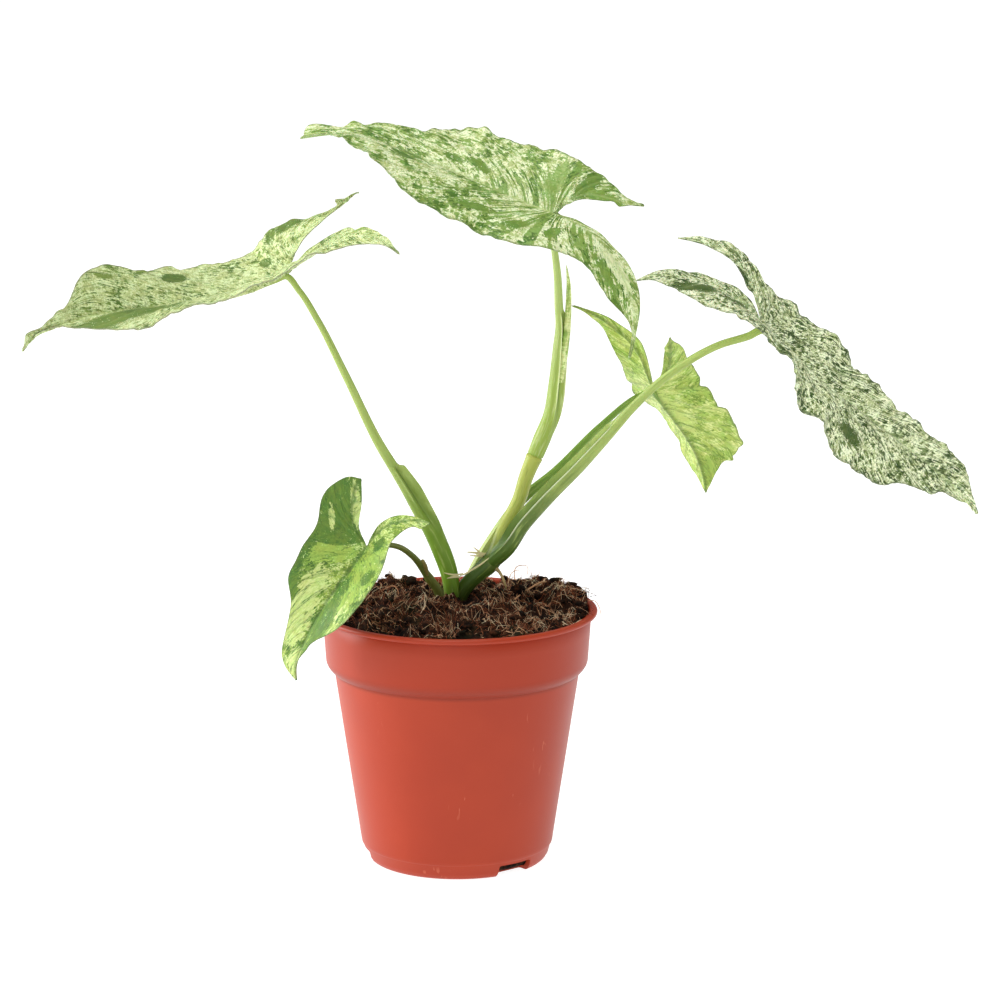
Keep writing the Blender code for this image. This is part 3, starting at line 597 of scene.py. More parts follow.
class Draft:
    """Grids and solids in millimetres, with UV maps and point values, that become one object."""

    def __init__(self) -> None:
        """Start empty."""
        self.count = 0
        self.points: list[Array] = []
        self.faces: list[list[int]] = []
        self.maps: dict[str, list[tuple[int, Array]]] = {}
        self.values: dict[str, list[tuple[int, Array]]] = {}

    def _keep(self, points: Array, faces: Array, maps: dict[str, Array],
              values: dict[str, Array]) -> None:
        """Add points and faces, with what each point carries.

        Args:
            points: points by 3.
            faces: point numbers, counted from these points.
            maps: UV coordinates by map name.
            values: numbers by name.
        """
        self.points.append(points)
        self.faces += (faces + self.count).tolist()
        for store, given in ((self.maps, maps), (self.values, values)):
            for name, data in given.items():
                store.setdefault(name, []).append((self.count, data))
        self.count += len(points)

    def grid(self, points: Array, flip: bool = False,
             maps: Optional[dict[str, Array]] = None,
             values: Optional[dict[str, Array]] = None) -> None:
        """Add a grid.

        Args:
            points: rows by columns by 3.
            flip: turns the faces over.
            maps: UV coordinates, rows by columns by 2, by map name.
            values: numbers, rows by columns, by name.
        """
        rows, columns = points.shape[:2]
        index = np.arange(rows * columns).reshape(rows, columns)
        quads = np.stack([index[:-1, :-1], index[1:, :-1], index[1:, 1:], index[:-1, 1:]], axis=-1)
        quads = quads.reshape(-1, 4)
        self._keep(points.reshape(-1, 3), quads[:, ::-1] if flip else quads,
                   {name: data.reshape(-1, 2) for name, data in (maps or {}).items()},
                   {name: data.reshape(-1) for name, data in (values or {}).items()})

    def solid(self, points: Array, faces: Array, **values: float) -> None:
        """Add a closed solid whose points all carry the same values."""
        self._keep(points, faces, {}, {name: np.full(len(points), v) for name, v in values.items()})

    def tube(self, path: Array, sides: int, **values: float) -> None:
        """Add a closed round tube along points of (x, y, z, radius), pointed at both ends.

        Args:
            path: the points.
            sides: how many sides.
            values: what every point carries.
        """
        centre = path[:, :3]
        level = abs(centre[-1, 2] - centre[0, 2]) < 0.7 * np.linalg.norm(centre[-1] - centre[0])
        start = np.array((0, 0, 1) if level else (1, 0.3, 0))
        along, beside, square = turned_frames(centre, start)
        ring = round_ring(beside, square, np.linspace(0, 2 * math.pi, sides + 1)[:-1])
        self.loft(centre[:, None] + ring * path[:, None, 3:4],
                  centre[0] - along[0] * path[0, 3], centre[-1] + along[-1] * path[-1, 3], values)

    def ribbon(self, path: Array, thickness: float, **values: float) -> None:
        """Add a thin upright strip along points of (x, y, z, half its width).

        Args:
            path: the points.
            thickness: its thickness in the middle.
            values: what every point carries.
        """
        centre = path[:, :3]
        along, up, side = turned_frames(centre, np.array((0, 0, 1)))
        corners = ((1, 0), (0.3, 0.5), (-0.3, 0.5), (-1, 0), (-0.3, -0.5), (0.3, -0.5))
        ring = np.stack([up * path[:, 3:4] * u + side * thickness * v for u, v in corners], axis=1)
        self.loft(centre[:, None] + ring, centre[0], centre[-1] + along[-1] * path[-1, 3], values)

    def loft(self, rings: Array, foot: Array, head: Array,
             values: dict[str, float]) -> None:
        """Add a closed solid through rings of points, brought together at a foot and a head.

        Args:
            rings: rows by sides by 3.
            foot: the point before the first ring.
            head: the point after the last ring.
            values: what every point carries.
        """
        rows, sides = rings.shape[:2]
        index = np.arange(rows * sides).reshape(rows, sides)
        after = np.roll(index, -1, axis=1)
        quads = np.stack([index[:-1], after[:-1], after[1:], index[1:]], axis=-1).reshape(-1, 4)
        ends = [[after[0, i], index[0, i], rows * sides] for i in range(sides)]
        ends += [[index[-1, i], after[-1, i], rows * sides + 1] for i in range(sides)]
        start = self.count
        self.solid(np.concatenate((rings.reshape(-1, 3), foot[None], head[None])), quads, **values)
        self.faces += (np.array(ends) + start).tolist()

    def _gathered(self, chunks: list[tuple[int, Array]], columns: int = 1) -> Array:
        """Return one row for each point, 0 where no chunk gives it."""
        data = np.zeros((self.count, columns))
        for start, chunk in chunks:
            data[start:start + len(chunk)] = chunk.reshape(-1, columns)
        return data

    def build(self, name: str, weld: float = 0.002) -> Object:
        """Return the object, with points closer than weld millimetres joined.

        Args:
            name: the object's name.
            weld: how close points are joined.

        Returns:
            The object.
        """
        mesh = bpy.data.meshes.new(name)
        points = np.concatenate(self.points) * MM
        mesh.from_pydata(points.tolist(), [], self.faces)
        corners = np.empty(len(mesh.loops), np.int32)
        mesh.loops.foreach_get("vertex_index", corners)
        for key, chunks in self.maps.items():
            data = self._gathered(chunks, 2)[corners].ravel()
            mesh.uv_layers.new(name=key).data.foreach_set("uv", data)
        for key, chunks in self.values.items():
            data = self._gathered(chunks).ravel()
            mesh.attributes.new(key, "FLOAT", "POINT").data.foreach_set("value", data)
        work = bmesh.new()
        work.from_mesh(mesh)
        bmesh.ops.remove_doubles(work, verts=work.verts, dist=weld * MM)
        work.to_mesh(mesh)
        work.free()
        obj = bpy.data.objects.new(name, mesh)
        bpy.context.scene.collection.objects.link(obj)
        return obj


def point_values(mesh: Mesh, name: str) -> Array:
    """Return a named value of every point."""
    data = np.empty(len(mesh.vertices))
    mesh.attributes[name].data.foreach_get("value", data)
    return data


def positions(mesh: Mesh) -> Array:
    """Return the points' places in millimetres."""
    data = np.empty(len(mesh.vertices) * 3)
    mesh.vertices.foreach_get("co", data)
    return data.reshape(-1, 3) / MM


def set_positions(mesh: Mesh, points: Array) -> None:
    """Move the points to these places in millimetres."""
    mesh.vertices.foreach_set("co", (points * MM).ravel())
    mesh.update()


def apply_modifiers(obj: Object) -> None:
    """Apply all of an object's modifiers in order."""
    select_only(obj)
    for modifier in list(obj.modifiers):
        bpy.ops.object.modifier_apply(modifier=modifier.name)


def select_only(obj: Object) -> None:
    """Make this the one selected and active object."""
    bpy.ops.object.select_all(action="DESELECT")
    obj.select_set(True)
    bpy.context.view_layer.objects.active = obj


def smooth(obj: Object, sharp_degrees: float = 60) -> None:
    """Shade an object smooth, with edges sharper than an angle kept."""
    obj.data.shade_smooth()
    obj.data.set_sharp_from_angle(angle=math.radians(sharp_degrees))


def dress(obj: Object, slot: str, nodes: tuple[str, ...],
          *materials: Material) -> Object:
    """Give a finished piece its materials and body, and hide the nodes that it stands for.

    Args:
        obj: the piece.
        slot: its material slot, not used.
        nodes: the nodes, or none.
        materials: its materials.

    Returns:
        The same object.
    """
    obj.data.materials.clear()
    for material in materials:
        obj.data.materials.append(material)
    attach(obj, BODY)
    if nodes:
        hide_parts(*nodes)
    LOG.info("%s: %d faces", obj.name, len(obj.data.polygons))
    return obj


def fractal(x: float, y: float, z: float, octaves: int = 3) -> float:
    """Return smooth noise round zero with halving octaves."""
    return noise.fractal(Vector((x, y, z)), 1, 2, octaves)


def chord_lengths(points: Array, power: float = 1) -> Array:
    """Return the running sum of the chords' lengths to a power."""
    steps = np.linalg.norm(np.diff(points, axis=0), axis=1) ** power
    return np.concatenate(([0], np.cumsum(steps)))


def spline(points: Array, knots: Array, at: Array) -> Array:
    """Return the values of a smooth cubic curve through the points, at the given knot values.

    Args:
        points: rows of values.
        knots: a rising number for each point.
        at: where on the knots.

    Returns:
        A row of values for each place.
    """
    steps = np.diff(knots)[:, None]
    slopes = np.diff(points, axis=0) / steps
    tangents = np.empty_like(points)
    tangents[1:-1] = (slopes[:-1] * steps[1:] + slopes[1:] * steps[:-1]) / (steps[1:] + steps[:-1])
    tangents[0] = 1.5 * slopes[0] - 0.5 * tangents[1]
    tangents[-1] = 1.5 * slopes[-1] - 0.5 * tangents[-2]
    span = np.clip(np.searchsorted(knots, at, side="right") - 1, 0, len(points) - 2)
    step = steps[span]
    x = (np.asarray(at) - knots[span])[:, None] / step
    start = (2 * x**3 - 3 * x**2 + 1) * points[span] + (x**3 - 2 * x**2 + x) * step * tangents[span]
    end = (3 * x**2 - 2 * x**3) * points[span + 1] + (x**3 - x**2) * step * tangents[span + 1]
    return start + end


def smooth_path(points: Any, spacing: float) -> Array:
    """Return points every so many millimetres on a smooth curve through the given points.

    Args:
        points: (x, y, z) and what else each point carries.
        spacing: the millimetres between points.

    Returns:
        Rows like the points.
    """
    points = np.asarray(points, float)
    knots = chord_lengths(points[:, :3])
    return spline(points, knots, np.linspace(0, knots[-1], max(4, round(knots[-1] / spacing))))


def bell(x: Any, width: float) -> Any:
    """Return a bell curve with its peak of 1 at zero."""
    return np.exp(-((x / width) ** 2))


def turned_frames(path: Array, first: Array) -> tuple[Array, Array, Array]:
    """Return directions along a path and two across it that turn as little as they can.

    Args:
        path: the points of the path.
        first: the direction that the first of the two crosswise ones starts near.

    Returns:
        Unit vectors along the path, beside it, and square to both.
    """
    along = np.gradient(path, axis=0)
    along /= np.linalg.norm(along, axis=1)[:, None]
    beside = np.empty_like(path)
    current = np.asarray(first, float)
    for i, direction in enumerate(along):
        current = current - direction * np.dot(current, direction)
        current /= np.linalg.norm(current)
        beside[i] = current
    return along, beside, np.cross(along, beside)


def round_ring(beside: Array, square: Array, angle: Array) -> Array:
    """Return the directions at these angles round each point of a path.

    Args:
        beside: each point's direction at angle 0.
        square: its direction at a quarter turn.
        angle: the angles, the same at each point or rows of them.

    Returns:
        Points by angles by 3.
    """
    angle = np.broadcast_to(angle, (len(beside), np.shape(angle)[-1]))[..., None]
    return beside[:, None] * np.cos(angle) + square[:, None] * np.sin(angle)


@dataclass(frozen=True)
class HalfShape:
    """One half of a blade: flat half-widths from the tip back, then how it bends out of flat.

    bulges are (place, width, out) or (place, width, out, up) of the margin's bulges and notches,
    with the place and the width as shares of the way from the tip to the lobe's tip. inner_bulges
    are (place, width, out) of those on the lobe's inner edge, from the sinus to the lobe's tip.
    """

    widths: tuple[float, ...]
    lobe_widths: tuple[float, ...]
    lobe_tip: tuple[float, float]
    sinus: tuple[float, float]
    fold: float
    curl: float
    droop: float
    lobe_curl: float
    bulges: tuple[tuple[float, ...], ...] = ()
    inner_bulges: tuple[Triple, ...] = ()


@dataclass
class Blade:
    """An arrow-shaped leaf blade.

    heading, rise and roll are degrees at the sinus, then their change in proportion to the distance
    towards the tip and to its square. crinkle is the height of the puckers between the veins, and
    frill the size of the small waves of the margin. hooks are (place, width, across, up) that bend
    the midrib aside, with the place and the width as shares of the length.
    """

    name: str
    sinus: Triple
    length: float
    heading: Triple
    rise: Triple
    roll: Triple
    ruffle: float
    waves: float
    phase: float
    left: HalfShape
    right: HalfShape
    slot: str
    finish: Variegation
    under: Variegation
    crinkle: float = 0.35
    frill: float = 0.5
    hooks: tuple[tuple[float, float, float, float], ...] = ()
    rows: tuple[int, int] = (151, 67)
    columns: int = 32
    lobe_columns: int = 17
    veins: float = 8.0
    thickness: float = 0.42
    rib: float = 1.3
    rib_tip: float = 0.55

    FRONT_STATIONS = (0.92, 0.78, 0.62, 0.45, 0.27, 0.07)
    LOBE_STATIONS = (0.33, 0.66, 0.9)
    SINUS_STATIONS = (0.3, 0.68)
    VEIN_SHARE = 0.45
    VEIN_BLEND = 0.7
    CURL_WIDTH = 0.36
    RUFFLE_MIX = (0.65, 0.35)
    RUFFLE_RATIOS = (1, 1.7)
    RUFFLE_PHASES = (1, 2.3)
    LOBE_RUFFLE = 0.6
    GROWTH = 0.45
    CLEAR_SINUS = 14.0
    VEIN_DEPTH = 0.22
    RIB_DEPTH = 0.3

    def angles(self, x: Array) -> list[Array]:
        """Return heading, rise and roll in radians at fractions of the length."""
        return [np.radians(start + change * x + bend * x * x)
                for start, change, bend in (self.heading, self.rise, self.roll)]

    def skeleton(self, along: Array) -> tuple[Array, Array, Array, Array]:
        """Return midrib points, and directions along, across and out of the blade.

        Args:
            along: places along the blade, 0 at the sinus.

        Returns:
            Four arrays of 3 numbers for each place.
        """
        samples = np.linspace(0, 1, 81)
        heading, rise, _ = self.angles(samples)
        tangent = self.direction(heading, rise)
        steps = (tangent[1:] + tangent[:-1]) * 0.5 * self.length / (len(samples) - 1)
        midrib = np.concatenate((np.zeros((1, 3)), np.cumsum(steps, axis=0)))
        x = np.clip(along / self.length, 0, 1)
        point = np.stack([np.interp(x, samples, midrib[:, k]) for k in range(3)], axis=-1)
        for middle, width, aside, upwards in self.hooks:
            point = point + bell(x - middle, width)[..., None] * np.array((aside, 0, upwards))
        heading, rise, roll = self.angles(x)
        tangent = self.direction(heading, rise)
        point = point + tangent * np.minimum(along, 0)[..., None]
        level = np.stack([-np.sin(heading), np.cos(heading), np.zeros_like(heading)], axis=-1)
        upward = np.cross(tangent, level)
        across = np.cos(roll)[..., None] * level + np.sin(roll)[..., None] * upward
        return point + np.array(self.sinus), tangent, across, np.cross(tangent, across)

    @staticmethod
    def direction(heading: Array, rise: Array) -> Array:
        """Return unit vectors from a heading in plan and a rise above level."""
        level = np.cos(rise)
        return np.stack([level * np.cos(heading), level * np.sin(heading), np.sin(rise)], axis=-1)

    def under_midrib(self, reach: float, depth: float) -> tuple[float, ...]:
        """Return the place so far along the midrib and so deep under its upper side."""
        point, _, _, normal = self.skeleton(np.array(reach))
        return tuple(point - normal * depth)

    def outer_margin(self, half: HalfShape, sign: float) -> Array:
        """Return a half's smooth flat margin from the tip to the lobe's tip, a point a row.

        Args:
            half: the half's shape.
            sign: the sign of its flat width.

        Returns:
            Rows by 2.
        """
        front, back = self.rows
        reach, spread = half.lobe_tip
        outer = [(self.length, 0)]
        outer += [(self.length * f, sign * w) for f, w in zip(self.FRONT_STATIONS, half.widths)]
        outer += [(-reach * f, sign * w) for f, w in zip(self.LOBE_STATIONS, half.lobe_widths)]
        outer = np.array(outer + [(-reach, sign * spread)])
        knots = chord_lengths(outer, 0.5)
        turn = knots[len(self.FRONT_STATIONS)]
        to_turn = np.linspace(0, turn, front)
        onward = np.linspace(turn, knots[-1], back)[1:]
        return spline(outer, knots, np.concatenate((to_turn, onward)))

    def inner_margin(self, half: HalfShape, sign: float) -> Array:
        """Return a lobe's smooth flat inner margin from the sinus to the lobe's tip.

        Args:
            half: the half's shape.
            sign: the sign of its flat width.

        Returns:
            Rows by 2.
        """
        lobe = np.array((-half.lobe_tip[0], sign * half.lobe_tip[1]))
        inward = np.array((-lobe[1], lobe[0])) / np.linalg.norm(lobe)
        inward *= -sign * np.sign(inward[1])
        inner = [(0, 0)]
        inner += [lobe * f + inward * bulge for f, bulge in zip(self.SINUS_STATIONS, half.sinus)]
        inner = np.array(inner + [lobe])
        knots = chord_lengths(inner, 0.5)
        return spline(inner, knots, np.linspace(0, knots[-1], self.rows[1]))

    def outline(self, half: HalfShape, side: Side) -> tuple[Array, Array, Array]:
        """Return a half's flat curves: its vein line, outer margin and inner lobe margin.

        Args:
            half: the half's shape.
            side: which half.

        Returns:
            Three arrays, a flat point a row.
        """
        front, back = self.rows
        margin = self.outer_margin(half, side.value)
        edge = self.inner_margin(half, side.value)
        share = np.linspace(0, 1, back)[:, None]
        share = self.VEIN_SHARE * (share * share * (3 - 2 * share)) ** self.VEIN_BLEND
        vein = edge + share * (margin[front - 1:] - edge)
        midrib = np.stack([np.linspace(self.length, 0, front), np.zeros(front)], axis=-1)
        return np.concatenate((midrib, vein[1:])), margin, edge

    def surface(self, half: HalfShape, flat: Array, outward: Array,
                row: Array) -> Array:
        """Return flat points of a half placed in space: folded, curled, drooping and ruffled.

        Args:
            half: the half's shape.
            flat: the flat points.
            outward: each one's share of the way to the margin.
            row: each one's share of the way to the lobe's tip.

        Returns:
            The points.
        """
        point, _, across, normal = self.skeleton(flat[..., 0])
        side = np.abs(flat[..., 1])
        back = np.clip(-flat[..., 0] / self.length, 0, None)
        height = math.sin(math.radians(half.fold)) * side
        height = height - half.curl * side * side / (self.CURL_WIDTH * self.length)
        height = height - half.droop * back * back * self.length + half.lobe_curl * back * side
        ruffle = self.ruffle * outward**2 * np.sqrt(np.sin(math.pi * np.clip(row, 0, 1)))
        for share, ratio, start in zip(self.RUFFLE_MIX, self.RUFFLE_RATIOS, self.RUFFLE_PHASES):
            turns = ratio * self.waves * row + start * self.phase
            height = height + share * ruffle * np.sin(2 * math.pi * turns)
        sideways = flat[..., 1] * math.cos(math.radians(half.fold))
        return point + across * sideways[..., None] + normal * height[..., None]

    @staticmethod
    def lanes(place: Array, outward: Array) -> Array:
        """Return which side vein runs through each point, -1 at the lobe's tip and 1 at the tip.

        Veins start crowded near the sinus and lean towards the tips as they run outwards.

        Args:
            place: each row's place on the midrib or lobe vein, from -1 to 1.
            outward: each column's share of the way to the margin.

        Returns:
            Rows by columns of vein numbers.
        """
        veins = np.linspace(-1, 1, 401)
        start = np.sign(veins) * np.abs(veins) ** 1.5
        end = np.sign(veins) * np.abs(veins) ** 0.75
        return np.stack([np.interp(place, start + (end - start) * share**1.3, veins)
                         for share in outward], axis=-1)

    def bulged(self, half: HalfShape, side: Side, margin: Array,
               taper: Array) -> tuple[Array, Array, Array]:
        """Return a half's margin with its bulges, frill and growth.

        Args:
            half: the half's shape.
            side: which half.
            margin: the smooth flat margin.
            taper: how far the frill goes on each row, 0 at both ends.

        Returns:
            The flat margin, and how far each row's edge and outer part rise.
        """
        row = np.linspace(0, 1, len(margin))
        wander = np.array([(fractal(s / 6, self.phase * 9, side.value, 3),
                            fractal(s / 5, self.phase * 7, side.value + 4, 3),
                            fractal(s / 13, self.phase * 5, side.value + 8, 2))
                           for s in chord_lengths(margin)])
        out = (self.frill * 0.9 * wander[:, 0] + self.GROWTH) * taper
        up = self.frill * 1.6 * wander[:, 1] * taper
        swell = self.frill * 3 * wander[:, 2] * taper
        for middle, width, outwards, *upwards in half.bulges:
            out = out + outwards * bell(row - middle, width)
            swell = swell + sum(upwards) * bell(row - middle, width)
        slope = np.gradient(margin, axis=0)
        slope /= np.linalg.norm(slope, axis=1)[:, None]
        outward = np.stack([slope[:, 1], -slope[:, 0]], axis=-1)
        return margin + outward * (side.value * out)[:, None], up, swell

    def bulged_lobe(self, half: HalfShape, edge: Array, vein: Array) -> Array:
        """Return a lobe's flat inner margin with its bulges and growth away from the vein.

        Args:
            half: the half's shape.
            edge: the smooth flat margin.
            vein: the lobe's flat vein line.

        Returns:
            The flat margin.
        """
        away = edge - vein
        away /= np.maximum(np.linalg.norm(away, axis=1), 0.01)[:, None]
        steps = np.linspace(0, 1, len(edge))
        arch = np.sin(math.pi * steps)
        out = 0.6 * self.GROWTH * arch
        for middle, width, outwards in half.inner_bulges:
            out = out + outwards * bell(steps - middle, width) * arch**0.3
        return edge + away * out[:, None]

    def add_half(self, draft: Draft, half: HalfShape, side: Side) -> None:
        """Add the upper surface of one half to a draft, as an outer grid and a lobe grid.

        Args:
            draft: where it goes.
            half: the half's shape.
            side: which half.
        """
        front, back = self.rows
        vein, margin, edge = self.outline(half, side)
        row = np.linspace(0, 1, front + back - 1)
        taper = np.sqrt(np.sin(math.pi * row))
        margin, up, swell = self.bulged(half, side, margin, taper)
        edge = self.bulged_lobe(half, edge, vein[front - 1:])
        place = np.concatenate((np.linspace(1, 0, front), np.linspace(0, -1, back)[1:]))
        outward = np.linspace(0, 1, self.columns) ** 1.3
        inward = np.linspace(0, 1, self.lobe_columns) ** 1.2
        self.add_grid(draft, half, side, margin, vein, outward, row, place, taper, (up, swell))
        self.add_grid(draft, half, side, edge, vein[front - 1:], inward, row[front - 1:],
                      place[front - 1:], taper[front - 1:])

    def add_grid(self, draft: Draft, half: HalfShape, side: Side, edge: Array,
                 spine: Array, steps: Array, row: Array, place: Array,
                 taper: Array, rises: Optional[tuple[Array, Array]] = None) -> None:
        """Add the grid between a vein line and an edge.

        Args:
            draft: where it goes.
            half: the half's shape.
            side: which half.
            edge: the flat edge, a point for each row.
            spine: the flat vein line.
            steps: each column's share of the way from the vein line to the edge.
            row: each row's share of the way from the tip to the lobe's tip.
            place: each row's place on the midrib or lobe vein, from 1 to -1.
            taper: how far the relief goes on each row.
            rises: how far each row's edge and outer part rise. The lobe's inner grid has none.
        """
        outer = rises is not None
        reach = edge - spine
        flat = spine[:, None] + steps[None, :, None] * reach[:, None]
        width = np.linalg.norm(reach, axis=1)[:, None] * steps[None, :]
        lane = self.lanes(place, steps)
        wave = steps if outer else self.LOBE_RUFFLE * steps
        points = self.surface(half, flat, np.broadcast_to(wave, lane.shape),
                              np.broadcast_to(row[:, None], lane.shape))
        scale = np.where(lane > 0, self.length, math.hypot(*half.lobe_tip))
        signed = width * side.value * (1 if outer else -1)
        veins = np.stack([lane * scale, signed], axis=-1) / UV_UNIT
        near = np.abs(lane * self.veins - np.round(lane * self.veins)) * scale / self.veins
        open_blade = np.clip(np.linalg.norm(flat, axis=-1) / self.CLEAR_SINUS, 0, 1)
        open_blade = open_blade * (1 - steps**4)
        lines = bell(near, 0.55) * open_blade
        centre = bell(width, 0.9)
        relief = self.relief(lane, flat, width, lines, centre, open_blade) * taper[:, None]
        if outer:
            relief = relief + rises[0][:, None] * steps**5 + rises[1][:, None] * steps**2
        rib = self.rib_tip + (self.rib - self.rib_tip) * (1 - np.abs(place))[:, None]
        draft.grid(points, (side is Side.LEFT) == outer, {"veins": veins, "flat": flat / UV_UNIT},
                   {"rim": np.broadcast_to(steps, lane.shape), "vein": lines, "rib": centre,
                    "relief": relief,
                    "thickness": self.thickness + (rib - self.thickness) * centre})

    def relief(self, lane: Array, flat: Array, width: Array, lines: Array,
               centre: Array, open_blade: Array) -> Array:
        """Return how far each point stands out: puckers, crumple, sunk veins and sunk midrib.

        Args:
            lane: which side vein runs through each point.
            flat: the flat points.
            width: how far each is from the midrib or lobe vein.
            lines: 1 on the side veins.
            centre: 1 on the midrib.
            open_blade: 0 at the sinus and on the margin, where nothing stands out.

        Returns:
            Millimetres for each point.
        """
        pucker = np.sin(math.pi * lane * self.veins) ** 2 * np.clip(width / 6, 0, 1)
        crumple = np.array([[fractal(x / 7, y / 7, self.phase * 5, 3) for x, y in line]
                            for line in flat])
        relief = self.crinkle * (pucker - 0.45) * open_blade
        relief = relief - self.VEIN_DEPTH * lines - self.RIB_DEPTH * centre * open_blade
        return relief + self.crinkle * 0.9 * crumple * np.clip(width / 8, 0, 1)

    def build(self) -> Object:
        """Return the blade: both halves welded, puckered, and thickened on the underside."""
        draft = Draft()
        self.add_half(draft, self.left, Side.LEFT)
        self.add_half(draft, self.right, Side.RIGHT)
        obj = draft.build(self.name)
        mesh = obj.data
        normals = np.empty(len(mesh.vertices) * 3)
        mesh.vertices.foreach_get("normal", normals)
        lift = normals.reshape(-1, 3) * point_values(mesh, "relief")[:, None]
        set_positions(mesh, positions(mesh) + lift)
        group = obj.vertex_groups.new(name="thickness")
        for index, depth in enumerate(point_values(mesh, "thickness")):
            group.add([index], min(depth / self.rib, 1), "REPLACE")
        solid = obj.modifiers.new("Solidify", "SOLIDIFY")
        solid.thickness = self.rib * MM
        solid.offset = -1
        solid.vertex_group = group.name
        solid.material_offset = 1
        apply_modifiers(obj)
        obj.vertex_groups.clear()
        smooth(obj)
        return dress(obj, self.slot, (self.name.replace("_blade", ""),), self.finish.material(),
                     self.under.material())


@dataclass(frozen=True)
class Sheath:
    """The open channel at a petiole's base.

    side is the open side, bottom and top its heights, run_out how fast it ends, and opening how
    far up it has fully opened. lips is how far its two edges stand out as a share of the stalk's
    radius, pale how pale each is, and spread their angle from the open side.
    """

    side: Triple
    bottom: float
    top: float
    run_out: float
    lips: tuple[float, float] = (0.5, 0.5)
    pale: tuple[float, float] = (1, 1)
    groove: float = 0.42
    spread: float = 38.0
    opening: float = 0.35

    def strength(self, height: float) -> float:
        """Return how open the sheath is at a height, from 0 to 1."""
        rise = (height - self.bottom) / (self.opening * (self.top - self.bottom))
        fall = (self.top + self.run_out - height) / (2 * self.run_out)
        return float(np.clip(min(rise, fall), 0, 1))

    def profile(self, angle: Array, strength: float) -> tuple[Array, Array, Array]:
        """Return the radius, lip and groove shares round a section, angle 0 on the open side.

        Args:
            angle: the angles.
            strength: how open the sheath is.

        Returns:
            Three numbers for each angle.
        """
        turn = np.degrees(angle)
        share, lips = np.ones_like(angle), np.zeros_like(angle)
        for sign, height, paleness in zip((-1, 1), self.lips, self.pale):
            away = turn * sign - self.spread
            flank = 0.28 * height * bell(away - 26, 24)
            share = share + (height * bell(away, 8) + flank) * strength
            lips = lips + paleness * bell(away, 7) * strength
        hollow = bell(turn, 0.62 * self.spread) * strength
        # the third share places the painted shade of the groove
        return share - self.groove * hollow, lips, bell(turn, 0.3 * self.spread) * strength


@dataclass
class Stalk:
    """A stem or petiole, lofted along points of (x, y, z, radius) from its foot up.

    swellings are (height, width, share) of rings that stand out of the stalk, twigs the roots and
    nubs that grow from it, and scales the dry shreds of old sheaths.
    """

    name: str
    points: Points
    slot: str
    finish: Rind
    sheath: Optional[Sheath] = None
    blade: Optional[Blade] = None
    swellings: tuple[Triple, ...] = ()
    twigs: tuple[Points, ...] = ()
    scales: tuple[Points, ...] = ()
    spacing: float = 1.0
    sides: int = 44

    BLADE_REACH = (1.2, 5, 11, 19)
    BLADE_DEPTH = (1.1, 0.85, 0.72, 0.55)
    BLADE_RADIUS = (1, 0.78, 0.5, 0.22)
    ROUGH = 0.012
    FOOT_BULGE = -0.3
    HEAD_BULGE = 0.8

    def path(self) -> Array:
        """Return the centre line with radii, run on under the blade's midrib if it has one."""
        points = list(self.points)
        if self.blade:
            last = self.points[-1][3]
            for reach, depth, share in zip(self.BLADE_REACH, self.BLADE_DEPTH, self.BLADE_RADIUS):
                place = self.blade.under_midrib(reach, depth + 0.25 * share * last)
                points.append((*place, share * last))
        return smooth_path(points, self.spacing)

    def section(self, angle: Array, height: float) -> tuple[Array, Array, Array]:
        """Return the radius, lip and groove shares round the section at a height.

        Args:
            angle: the angles.
            height: the section's height.

        Returns:
            Three numbers for each angle.
        """
        share, lips, groove = np.ones_like(angle), np.zeros_like(angle), np.zeros_like(angle)
        if self.sheath:
            share, lips, groove = self.sheath.profile(angle, self.sheath.strength(height))
        for middle, width, size in self.swellings:
            share = share * (1 + size * bell(height - middle, width))
        return share, lips, groove

    def frames(self, centre: Array) -> tuple[Array, Array, Array]:
        """Return directions along, towards the sheath's open side, and square to both."""
        open_side = np.array(self.sheath.side if self.sheath else (0, -1, 0), float)
        along, beside, square = turned_frames(centre, open_side)
        if self.sheath:
            beside = open_side - along * (along @ open_side)[:, None]
            beside /= np.linalg.norm(beside, axis=1)[:, None]
            square = np.cross(along, beside)
        return along, beside, square

    def build(self) -> Object:
        """Return the stalk as one closed loft, with what grows from it."""
        path = self.path()
        centre = path[:, :3]
        along, beside, square = self.frames(centre)
        angle = np.linspace(-math.pi, math.pi, self.sides + 1)
        angle = angle - 0.5 * np.sin(angle) if self.sheath else angle
        run = chord_lengths(centre)
        sections = [self.section(angle, point[2]) for point in path]
        radius = np.array([section[0] for section in sections]) * path[:, 3:4]
        rough = np.array([[fractal(4 * math.cos(a), 4 * math.sin(a), s / 9, 2)
                           for a in angle] for s in run])
        radius = radius * (1 + self.ROUGH * rough)
        points = centre[:, None] + round_ring(beside, square, angle) * radius[..., None]
        ends = [np.broadcast_to(centre[i] + along[i] * path[i, 3] * bulge, (1, *points[0].shape))
                for i, bulge in ((0, self.FOOT_BULGE), (-1, self.HEAD_BULGE))]
        points = np.concatenate((ends[0], points, ends[1]))
        run = np.concatenate((run[:1], run, run[-1:]))
        skin = np.broadcast_arrays(angle[None] * path[0, 3], run[:, None])
        sections = [sections[0], *sections, sections[-1]]
        draft = Draft()
        # the groove value places the painted shade of the sheath's groove
        draft.grid(points, True, {"skin": np.stack(skin, axis=-1) / UV_UNIT},
                   {"rise": np.broadcast_to((run / run[-1])[:, None], points.shape[:2]),
                    "lip": np.array([section[1] for section in sections]),
                    "groove": np.array([section[2] for section in sections])})
        for twig in self.twigs:
            draft.tube(smooth_path(twig, 0.8), 12, rise=0.4, dry=0.75)
        for scale in self.scales:
            draft.ribbon(smooth_path(scale, 0.5), 0.16, rise=0.9, lip=1)
        obj = draft.build(self.name)
        smooth(obj, 75)
        node = self.name.replace("_stalk", "")
        return dress(obj, self.slot, (node,), self.finish.material())


